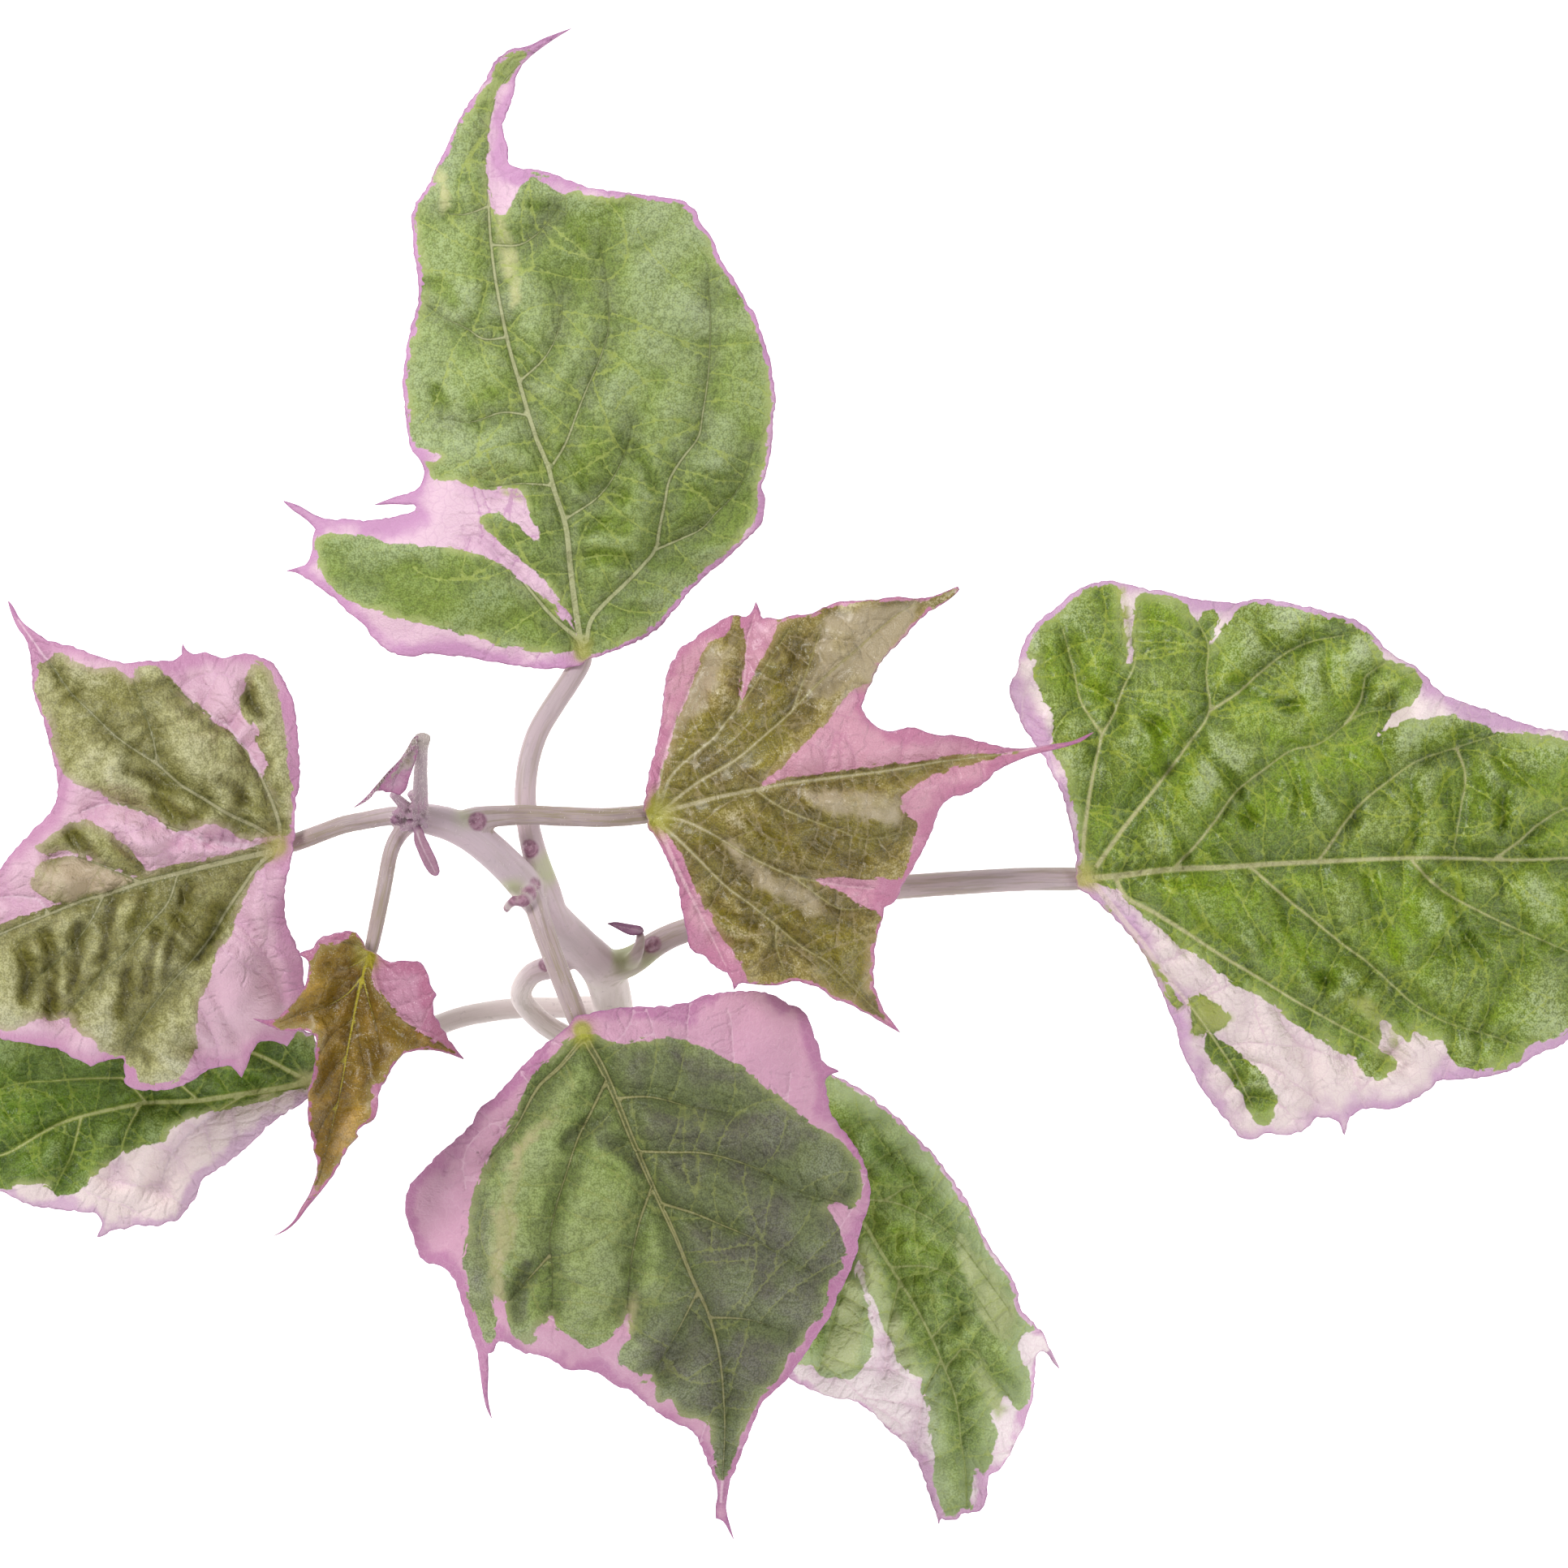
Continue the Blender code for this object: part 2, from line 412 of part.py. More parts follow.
def smooth_route(stops):
    """Points about one step apart on the curve through the stops, each with its height and radius."""
    stops = np.array(stops, float)
    padded = np.vstack([2 * stops[0] - stops[1], stops, 2 * stops[-1] - stops[-2]])
    route = []
    for a, b, c, d in zip(padded, padded[1:], padded[2:], padded[3:]):
        run = (c - b)[:3] * (1, 1, 10)
        count = max(1, round(float(np.linalg.norm(run)) / ROUTE_STEP))
        for t in np.arange(count) / count:
            route.append(0.5 * (2 * b + (c - a) * t + (2 * a - 5 * b + 4 * c - d) * t ** 2
                                + (3 * b - a - 3 * c + d) * t ** 3))
    route.append(stops[-1])
    return route


def tube(name, stops, group, skin, sides=STALK_SIDES, swell=0.0):
    """A solid round stalk along a route, closed at both ends and welded into one body."""
    curve = bpy.data.curves.new(name, "CURVE")
    curve.dimensions = "3D"
    curve.bevel_depth = 1.0
    curve.bevel_resolution = sides
    curve.use_fill_caps = True
    route = smooth_route(stops)
    spline = curve.splines.new("POLY")
    spline.points.add(len(route) - 1)
    for point, (x, y, height, radius) in zip(spline.points, route):
        point.co = (*place(x, y, height), 1.0)
        point.radius = radius * MM + swell
    guide = bpy.data.objects.new(name, curve)
    group.objects.link(guide)
    bpy.context.view_layer.update()
    ready = guide.evaluated_get(bpy.context.evaluated_depsgraph_get())
    mesh = bpy.data.meshes.new_from_object(ready)
    bpy.data.objects.remove(guide, do_unlink=True)
    bm = bmesh.new()
    bm.from_mesh(mesh)
    bmesh.ops.remove_doubles(bm, verts=bm.verts, dist=1e-6)
    bmesh.ops.recalc_face_normals(bm, faces=bm.faces)
    bm.to_mesh(mesh)
    bm.free()
    return add_object(name, mesh, group, skin)


def bud(name, x, y, height, long_half, wide_half, group, skin, swell=0.0):
    """A plump bud, longer upwards than it is wide."""
    bm = bmesh.new()
    bmesh.ops.create_uvsphere(bm, u_segments=8, v_segments=5, radius=1.0)
    width = wide_half * MM + swell
    bmesh.ops.scale(bm, verts=bm.verts, vec=(width, width, long_half * MM + swell))
    bmesh.ops.translate(bm, verts=bm.verts, vec=place(x, y, height))
    mesh = bpy.data.meshes.new(name)
    bm.to_mesh(mesh)
    bm.free()
    return add_object(name, mesh, group, skin)


def combine(target, others, operation):
    """One Boolean on a target with each of the others, applied."""
    for other in others:
        change = target.modifiers.new("combine", "BOOLEAN")
        change.operation = operation
        change.solver = "EXACT"
        change.object = other
        bpy.context.view_layer.update()
        ready = target.evaluated_get(bpy.context.evaluated_depsgraph_get())
        mesh = bpy.data.meshes.new_from_object(ready)
        target.modifiers.clear()
        target.data = mesh
    return target


def fuse(target, others):
    combine(target, others, "UNION")
    for other in others:
        bpy.data.objects.remove(other, do_unlink=True)
    return target


def build_stem(name, group, swell=0.0):
    """The main stem with the buds that sit in its leaf axils, grown by the swell for a cutter."""
    stem = tube(name, STEM_ROUTE, group, "stem_skin", STEM_SIDES, swell)
    buds = [bud("bud", *sizes, group, "stem_skin", swell) for sizes in AXIL_BUDS["main_stem"]]
    buds.append(tube("curled_bud", CURLED_BUD, group, "stem_skin", 1, swell))
    return fuse(stem, buds)


def build_tip(name, group, swell=0.0):
    """The shoot's growing tip: a stalk that stands up, and the narrow bud leaves round its foot."""
    tip = tube(name, TIP_STALK, group, "bud_skin", 1, swell)
    shoots = [tube("shoot", stops, group, "bud_skin", 1, swell) for stops in TIP_SHOOTS]
    return fuse(tip, shoots)


def seat_under(blade, x, y, radius):
    """Height of a stalk's centre that brings its skin up to the gap below the blade around it."""
    level = underside(blade)
    reach = radius * MM / PLAN_UNIT
    ring = [(x + reach * math.cos(turn), y + reach * math.sin(turn)) for turn in np.arange(8) * math.pi / 4]
    return min(level(px, py) for px, py in ring + [(x, y)]) - radius - SEAT_GAP / MM


def stalk_stops(name):
    """The route of a stalk with its last stop seated under its blade."""
    blade_name, stops, (x, y, radius) = STALKS[name]
    return stops + [(x, y, seat_under(BLADES[blade_name], x, y, radius), radius)]


def build_stalk(name, group, tools, cutters):
    """One leaf stalk from the stem's skin to the underside of its blade, with the buds it carries."""
    stalk = tube(name, stalk_stops(name), group, "stem_skin")
    grown = [bud("bud", *sizes, group, "stem_skin") for sizes in AXIL_BUDS.get(name, [])]
    if name in SIDE_SHOOTS:
        grown.append(tube("side_shoot", SIDE_SHOOTS[name], group, "stem_skin", 1))
    fuse(stalk, grown)
    combine(stalk, cutters, "DIFFERENCE")
    if name in CLEARED_BY:
        neighbour = CLEARED_BY[name]
        clearance = tube("stalk_clearance", stalk_stops(neighbour), tools, "stem_skin", STALK_SIDES, SEAT_GAP)
        combine(stalk, [clearance], "DIFFERENCE")
        bpy.data.objects.remove(clearance, do_unlink=True)


def main():
    clear_scene()
    vine = collection("sweet_potato_vine")
    tools = collection("cutters")
    cutters = [build_stem("stem_clearance", tools, SEAT_GAP)]
    build_stem("main_stem", vine)
    tip = build_tip("shoot_tip", vine)
    combine(tip, cutters, "DIFFERENCE")
    cutters.append(build_tip("tip_clearance", tools, SEAT_GAP))
    for name in STALKS:
        build_stalk(name, vine, tools, cutters)
    for name, blade in BLADES.items():
        young = name in ("blade_young", "blade_mid", "blade_folded", "blade_axil")
        add_object(name, blade_mesh(name, blade), vine, "young_leaf" if young else "variegated_leaf")
    for cutter in cutters:
        cutter.hide_render = True
        cutter.display_type = "WIRE"


main()
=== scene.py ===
import math
import random

import bmesh
import bpy
import numpy as np
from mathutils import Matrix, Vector, geometry, kdtree


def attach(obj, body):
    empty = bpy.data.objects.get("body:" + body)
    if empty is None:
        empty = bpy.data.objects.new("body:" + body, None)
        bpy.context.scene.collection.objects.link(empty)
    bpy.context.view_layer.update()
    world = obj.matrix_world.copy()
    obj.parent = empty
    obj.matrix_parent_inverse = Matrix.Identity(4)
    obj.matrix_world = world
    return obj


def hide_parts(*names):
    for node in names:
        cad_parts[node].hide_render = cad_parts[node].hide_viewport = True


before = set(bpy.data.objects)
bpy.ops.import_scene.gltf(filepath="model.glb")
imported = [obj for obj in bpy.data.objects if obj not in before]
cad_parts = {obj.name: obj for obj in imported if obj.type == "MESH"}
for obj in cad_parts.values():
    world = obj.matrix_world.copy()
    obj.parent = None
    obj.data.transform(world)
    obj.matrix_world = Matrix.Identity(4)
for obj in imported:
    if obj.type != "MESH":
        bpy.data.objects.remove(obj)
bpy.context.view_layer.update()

# The view. The sprig lies on a white table and is seen from straight above with a long lens. A plan point
# counts tenths of a millimetre from the picture's left and top edges, and the photo is 1932 of them wide.
PLAN_UNIT = 0.0001
PLAN_CENTRE = (970.0, 965.5)
PHOTO_MIDDLE = (966.0, 966.0)
PHOTO_WIDTH = 0.1932
EYE_HEIGHT = 4.0
SHARP_LEVEL = 0.03
SENSOR = 36.0
MM = 0.001


def place(x, y, height=0.0):
    """A plan point and its height in mm, as a point in metres."""
    return Vector(((x - PLAN_CENTRE[0]) * PLAN_UNIT, (PLAN_CENTRE[1] - y) * PLAN_UNIT, height * MM))


camera_data = bpy.data.cameras.new("camera")
camera_data.sensor_width = SENSOR
camera_data.lens = SENSOR * (EYE_HEIGHT - SHARP_LEVEL) / PHOTO_WIDTH
camera_data.clip_start = 0.1
camera_data.clip_end = 100.0
camera = bpy.data.objects.new("camera", camera_data)
camera.location = place(*PHOTO_MIDDLE) + Vector((0, 0, EYE_HEIGHT))
bpy.context.scene.collection.objects.link(camera)
bpy.context.scene.camera = camera
bpy.context.scene.view_settings.view_transform = "Standard"

# The light is a white studio: an even glow from all round, one big soft box high at the upper left and
# weaker ones opposite, all far away, so that the puckers of the leaves show without hard shadows.
ROOM_GLOW = 0.38
SOFT_BOXES = {
    "key_box": ((-2.0, 1.5, 2.4), 1.2, 76.0),
    "side_box": ((2.6, 0.2, 2.2), 1.4, 30.0),
    "low_box": ((0.6, -2.8, 2.0), 1.4, 26.0)}

world = bpy.data.worlds.new("white_studio")
world.use_nodes = True
world.node_tree.nodes["Background"].inputs["Color"].default_value = (1, 1, 1, 1)
world.node_tree.nodes["Background"].inputs["Strength"].default_value = ROOM_GLOW
bpy.context.scene.world = world
for name, (spot, size, power) in SOFT_BOXES.items():
    lamp = bpy.data.lights.new(name, "AREA")
    lamp.shape = "DISK"
    lamp.size = size
    lamp.energy = power
    holder = bpy.data.objects.new(name, lamp)
    holder.location = spot
    holder.rotation_euler = (-Vector(spot)).to_track_quat("-Z", "Y").to_euler()
    bpy.context.scene.collection.objects.link(holder)

# The table is a matt white board that glows a little, as a lit background does, so its shadows stay faint.
BOARD_SIZE = 30.0
BOARD_GLOW = 0.9


def linear(code):
    """A colour written as sRGB hex, as linear red, green, blue and full alpha."""
    parts = [int(code[i:i + 2], 16) / 255 for i in (1, 3, 5)]
    return (*[p / 12.92 if p <= 0.04045 else ((p + 0.055) / 1.055) ** 2.4 for p in parts], 1.0)


def material(name, **sockets):
    """A Principled material with its plain values, and the tree and shader to build on."""
    skin = bpy.data.materials.new(name)
    skin.use_nodes = True
    shader = skin.node_tree.nodes["Principled BSDF"]
    for socket, value in sockets.items():
        shader.inputs[socket.replace("_", " ")].default_value = value
    return skin, skin.node_tree, shader


board_mesh = bpy.data.meshes.new("table_board")
bm = bmesh.new()
bmesh.ops.create_grid(bm, x_segments=1, y_segments=1, size=BOARD_SIZE / 2)
bm.to_mesh(board_mesh)
bm.free()
board = bpy.data.objects.new("table_board", board_mesh)
bpy.context.scene.collection.objects.link(board)
board_white, _, _ = material("matt_white_board", Base_Color=linear("#e7e7e7"), Roughness=0.9,
                             Emission_Color=linear("#ffffff"), Emission_Strength=BOARD_GLOW)
board_mesh.materials.append(board_white)

# Leaf blades. A blade is a thin soft sheet of leaf tissue that bulges up between its sunken veins, with a
# fine net of small veins between the main ones. Its plan is the outline on the photo, its heights are those
# of the solid, and its colour patches are kept as distances in mm to drawn borders.
PLAN_MM = 0.1
FAR = 30.0
TOOTH_TURN = 0.75
CURVE_STEPS = 4
SHEET_EASE = 0.0004
WAVES = 14


def stroke(text):
    """A line drawn on the plan, written "x,y x,y", or "x,y,height" where the heights in mm are known."""
    return [tuple(map(float, point.split(","))) for point in text.split()]


def strokes(text):
    """Several such lines, with a slash between them."""
    return [stroke(part) for part in text.split("/")]


def sheet(heights):
    """The smooth bent sheet through a blade's control heights, for arrays of plan points."""
    spots = np.array([(x, y) for x, y, z in heights]) / 1000.0
    lifts = np.array([z for x, y, z in heights])
    count = len(spots)

    def bend(apart):
        return np.where(apart > 0, apart ** 2 * np.log(np.maximum(apart, 1e-9)), 0.0)

    apart = np.linalg.norm(spots[:, None] - spots[None], axis=2)
    flat = np.hstack([np.ones((count, 1)), spots])
    system = np.block([[bend(apart) + SHEET_EASE * np.eye(count), flat], [flat.T, np.zeros((3, 3))]])
    pulls = np.linalg.solve(system, np.concatenate([lifts, np.zeros(3)]))

    def height(plan):
        places = plan / 1000.0
        near = bend(np.linalg.norm(places[:, None] - spots[None], axis=2))
        return near @ pulls[:count] + pulls[count] + places @ pulls[count + 1:]

    return height


def even_steps(line, step, closed=False):
    """Points an even step apart along a run of straight pieces."""
    line = np.array(line + line[:1] if closed else line, float)
    run = np.concatenate([[0.0], np.cumsum(np.linalg.norm(np.diff(line, axis=0), axis=1))])
    at = np.linspace(0, run[-1], max(2, int(round(run[-1] / step)) + 1))
    spots = np.stack([np.interp(at, run, line[:, i]) for i in range(line.shape[1])], axis=1)
    return spots[:-1] if closed else spots


def heading(before, here, after):
    """The way a line runs through one of its points, or nothing where it turns sharply, as at a tooth."""
    back, ahead = here - before, after - here
    sizes = np.linalg.norm(back) * np.linalg.norm(ahead) + 1e-9
    if float(back @ ahead) / sizes < TOOTH_TURN:
        return None
    way = back / (np.linalg.norm(back) + 1e-9) + ahead / (np.linalg.norm(ahead) + 1e-9)
    return way / (np.linalg.norm(way) + 1e-9)


def flowing(line, closed=False):
    """The line through given points, bent smoothly at gentle corners and left sharp at teeth and tips."""
    spots = [np.array(p, float) for p in line]
    count = len(spots)
    result = []
    for i in range(count if closed else count - 1):
        b, c = spots[i], spots[(i + 1) % count]
        a = spots[i - 1] if closed or i > 0 else 2 * b - c
        d = spots[(i + 2) % count] if closed or i + 2 < count else 2 * c - b
        span = np.linalg.norm(c - b)
        start, end = heading(a, b, c), heading(b, c, d)
        start = c - b if start is None else start * span
        end = c - b if end is None else end * span
        for t in np.arange(CURVE_STEPS) / CURVE_STEPS:
            result.append((2 * t ** 3 - 3 * t ** 2 + 1) * b + (t ** 3 - 2 * t ** 2 + t) * start
                          + (3 * t ** 2 - 2 * t ** 3) * c + (t ** 3 - t ** 2) * end)
    if not closed:
        result.append(spots[-1])
    return [tuple(p) for p in result]


def inside(plan, ring):
    """Which plan points lie inside a closed ring."""
    x, y = plan[:, 0], plan[:, 1]
    within = np.zeros(len(plan), bool)
    for (x0, y0), (x1, y1) in zip(ring, ring[1:] + ring[:1]):
        if y0 != y1:
            within ^= ((y0 > y) != (y1 > y)) & (x < (x1 - x0) * (y - y0) / (y1 - y0) + x0)
    return within


def nearest(plan, spots, halves=None):
    """Distance in mm from each plan point to the closest spot, less that spot's own half width."""
    if not len(spots):
        return np.full(len(plan), FAR)
    tree = kdtree.KDTree(len(spots))
    for i, (x, y) in enumerate(spots):
        tree.insert((x, y, 0.0), i)
    tree.balance()
    found = [tree.find((x, y, 0.0)) for x, y in plan]
    gaps = np.array([f[2] for f in found]) * PLAN_MM
    return gaps if halves is None else gaps - np.array(halves)[[f[1] for f in found]]


def border_distance(plan, ring):
    """Distance in mm to a patch's border, positive inside it."""
    smooth = flowing(ring, closed=True)
    gaps = nearest(plan, even_steps(smooth, 2.0, closed=True))
    return np.where(inside(plan, smooth), gaps, -gaps)


def soft_noise(plan, scale, seed, lie=(0, 1.0)):
    """A smooth random field from about -1 to 1, with hills a scale in mm across, drawn out along a lie."""
    draw = np.random.default_rng(seed)
    total = np.zeros(len(plan))
    lie_way = np.array([math.cos(math.radians(lie[0])), math.sin(math.radians(lie[0]))])
    for _ in range(WAVES):
        turn = draw.uniform(0, 2 * math.pi)
        pitch = 2 * math.pi / (scale * 10 * draw.uniform(1.4, 3.0))
        way = np.array([math.cos(turn), math.sin(turn)]) * pitch
        way -= (way @ lie_way) * lie_way * (1 - 1 / lie[1])
        total += np.sin(plan @ way + draw.uniform(0, 2 * math.pi))
    return total / math.sqrt(WAVES / 2)


# Small veins leave the main ones as rungs, about 4 mm apart, and smaller twigs leave the rungs. Each one is
# walked in short steps, in plan units, until it meets another vein or the margin.
RUNG_STEP = 4.0
RUNG_ANGLES = (62, 92)
RUNG_BEND = 0.03
RUNG_WOBBLE = 0.06
RUNG_REACH = 130
TWIG_SPACING = 15
TWIG_REACH = 24
SHORTEST_RUNG = 3


def side_veins(outline, parents, others, spacing, reach, seed):
    """Small veins that leave their parents at steep angles and end where they meet a vein or the margin."""
    draw = np.random.default_rng(seed)
    starts = []
    for line in parents:
        marks = even_steps([tuple(p) for p in line], spacing)
        for a, b in zip(marks, marks[1:]):
            for side in (-1, 1):
                lean = side * math.radians(draw.uniform(*RUNG_ANGLES))
                start = a + (b - a) * draw.uniform(0, 1)
                way = math.atan2(b[1] - a[1], b[0] - a[0]) + lean
                starts.append((*start, way, draw.normal(0, RUNG_BEND)))
    starts = draw.permutation(np.array(starts).reshape(-1, 4))
    spots, ways, bends = starts[:, :2], starts[:, 2], starts[:, 3]
    paths = [spots]
    for _ in range(int(reach / RUNG_STEP)):
        ways = ways + bends + draw.normal(0, RUNG_WOBBLE, len(ways))
        paths.append(paths[-1] + RUNG_STEP * np.stack([np.cos(ways), np.sin(ways)], axis=1))
    paths = np.stack(paths, axis=1)
    within = inside(paths.reshape(-1, 2), outline).reshape(paths.shape[:2])
    taken = np.concatenate([even_steps([tuple(p) for p in line], 2.0) for line in parents + others])
    rungs = []
    for path, here in zip(paths, within):
        kept = [path[0]]
        for spot, fits in zip(path[1:], here[1:]):
            if not fits:
                break
            kept.append(spot)
            if len(kept) > SHORTEST_RUNG:
                gaps = np.abs(taken - spot).sum(axis=1)
                if gaps.min() < RUNG_STEP:
                    kept[-1] = taken[gaps.argmin()]
                    break
        if len(kept) > SHORTEST_RUNG:
            rungs.append([tuple(p) for p in kept])
            taken = np.concatenate([taken, np.array(kept)])
    return rungs


# How a blade is filled, thickened and shaped: depths, reaches and hills are in mm, steps in plan units. Veins
# sink, the tissue between them bulges up and fades into the margin, and folds are narrow creases. Along the
# folds and in a blade's drawn troughs its colour turns darker, as painted shade over a deeper green.
FINE_STEP = 4.8
GRID_GAP = 0.045
BLADE_THICKNESS = 0.42
SOLID_THICKNESS = 0.8
RIM_WAVE = 2.2
RIM_WAVE_SCALE = 0.6
RIM_ROOM = (5, 10, 15, 20)
CREASE_DEPTH = {"midrib": 0.9, "side": 0.5}
CREASE_REACH = 2.2
PALMATE_REACH = 45
RIB_SHARE = {"midrib": 1.0, "palmate": 0.8, "side": 0.55}
RIB_TAPER = 0.3
UNDER_RIB = 0.72
TWIG_FAINTNESS = 0.09
REACH = {"margin": 3.0, "pucker": 2.4, "quilt": 1.2, "swell": 1.8, "ruffle": 2.5, "rib": 0.3}
HILLS = {"quilt": 6.0, "swell": 6.5, "crinkle": 2.6, "ruffle": 4.0}
FOLD_DEPTH = 0.9
FOLD_REACH = 0.75
SHOULDER = 0.35
SHOULDER_AT = 1.8
FOLD_SHADE = (4.0, 5.0)
PLAIN_BLADE = {"ground": "green", "lie": (0, 1.0), "veins": [], "folds": [], "patches": [], "pale": [],
               "deep": []}


def bell(gap, reach):
    """One on a line, falling softly to nothing at about two reaches from it."""
    return np.exp(-(gap / reach) ** 2)


def waved_rim(leaf, seed):
    """The blade's outline with small waves along it, where the blade is wide enough to have them."""
    outline = flowing(leaf["outline"], closed=True)
    rim = even_steps(outline, FINE_STEP / 2, closed=True)
    ahead = np.roll(rim, -1, axis=0) - np.roll(rim, 1, axis=0)
    inward = np.stack([-ahead[:, 1], ahead[:, 0]], axis=1) / np.linalg.norm(ahead, axis=1)[:, None]
    inward[~inside(rim + inward * 2, outline)] *= -1
    room = sum(inside(rim + inward * depth, outline) / len(RIM_ROOM) for depth in RIM_ROOM) ** 2
    wave = leaf["ruffle"] * RIM_WAVE * (1 + soft_noise(rim, RIM_WAVE_SCALE, seed + 70)).clip(0)
    rim += inward * (wave * room)[:, None]
    return [tuple(p) for p in rim]


def filled(outline, inner_lines):
    """A blade's plan as triangles: its rim, points along every vein, and an even grid between them."""
    rim = even_steps(outline, FINE_STEP, closed=True)
    points = [tuple(p) for p in rim]
    edges = [(i, (i + 1) % len(rim)) for i in range(len(rim))]
    for line in inner_lines:
        edges += [(len(points) + i, len(points) + i + 1) for i in range(len(line) - 1)]
        points += [tuple(p) for p in line]
    lowest, highest = rim.min(axis=0), rim.max(axis=0)
    rows = np.arange(lowest[1], highest[1], FINE_STEP * math.sqrt(0.75))
    columns = np.arange(lowest[0], highest[0], FINE_STEP)
    grid = np.concatenate([
        np.stack([columns + FINE_STEP / 2 * (i % 2), np.full(len(columns), y)], axis=1)
        for i, y in enumerate(rows)])
    grid = grid[inside(grid, outline)]
    grid = grid[nearest(grid, points) > FINE_STEP * GRID_GAP]
    points += [tuple(p) for p in grid]
    corners, _, faces, *_ = geometry.delaunay_2d_cdt(
        [Vector(p) for p in points], edges, [list(range(len(rim)))], 1, 1e-3)
    used = sorted({i for face in faces for i in face})
    place_of = {old: new for new, old in enumerate(used)}
    return np.array([tuple(corners[i]) for i in used]), [[place_of[i] for i in face] for face in faces]


def thick_sheet(name, plan, faces, under, top):
    """A blade's closed mesh, with the plan point of each of its corners and which corners are at its back."""
    bm = bmesh.new()
    number = bm.verts.layers.int.new("spot")
    for i, (x, y) in enumerate(plan):
        bm.verts.new(place(x, y))[number] = i
    bm.verts.ensure_lookup_table()
    for face in faces:
        bm.faces.new([bm.verts[i] for i in face])
    raised = bmesh.ops.extrude_face_region(bm, geom=bm.faces[:], use_keep_orig=True)
    upper = [item for item in raised["geom"] if isinstance(item, bmesh.types.BMVert)]
    for vert in bm.verts:
        vert.co.z = under[vert[number]] * MM
    for vert in upper:
        vert.co.z = top[vert[number]] * MM
    bmesh.ops.recalc_face_normals(bm, faces=bm.faces)
    bm.verts.index_update()
    spots = np.array([vert[number] for vert in bm.verts])
    back = np.ones(len(spots))
    back[[vert.index for vert in upper]] = 0.0
    mesh = bpy.data.meshes.new(name)
    bm.to_mesh(mesh)
    bm.free()
    mesh.shade_smooth()
    return mesh, spots, back


def keep_field(mesh, key, values):
    """Keeps a number with each point of a mesh, for its material to read."""
    store = mesh.attributes.new(key, "FLOAT", "POINT")
    store.data.foreach_set("value", values.astype(np.float32))


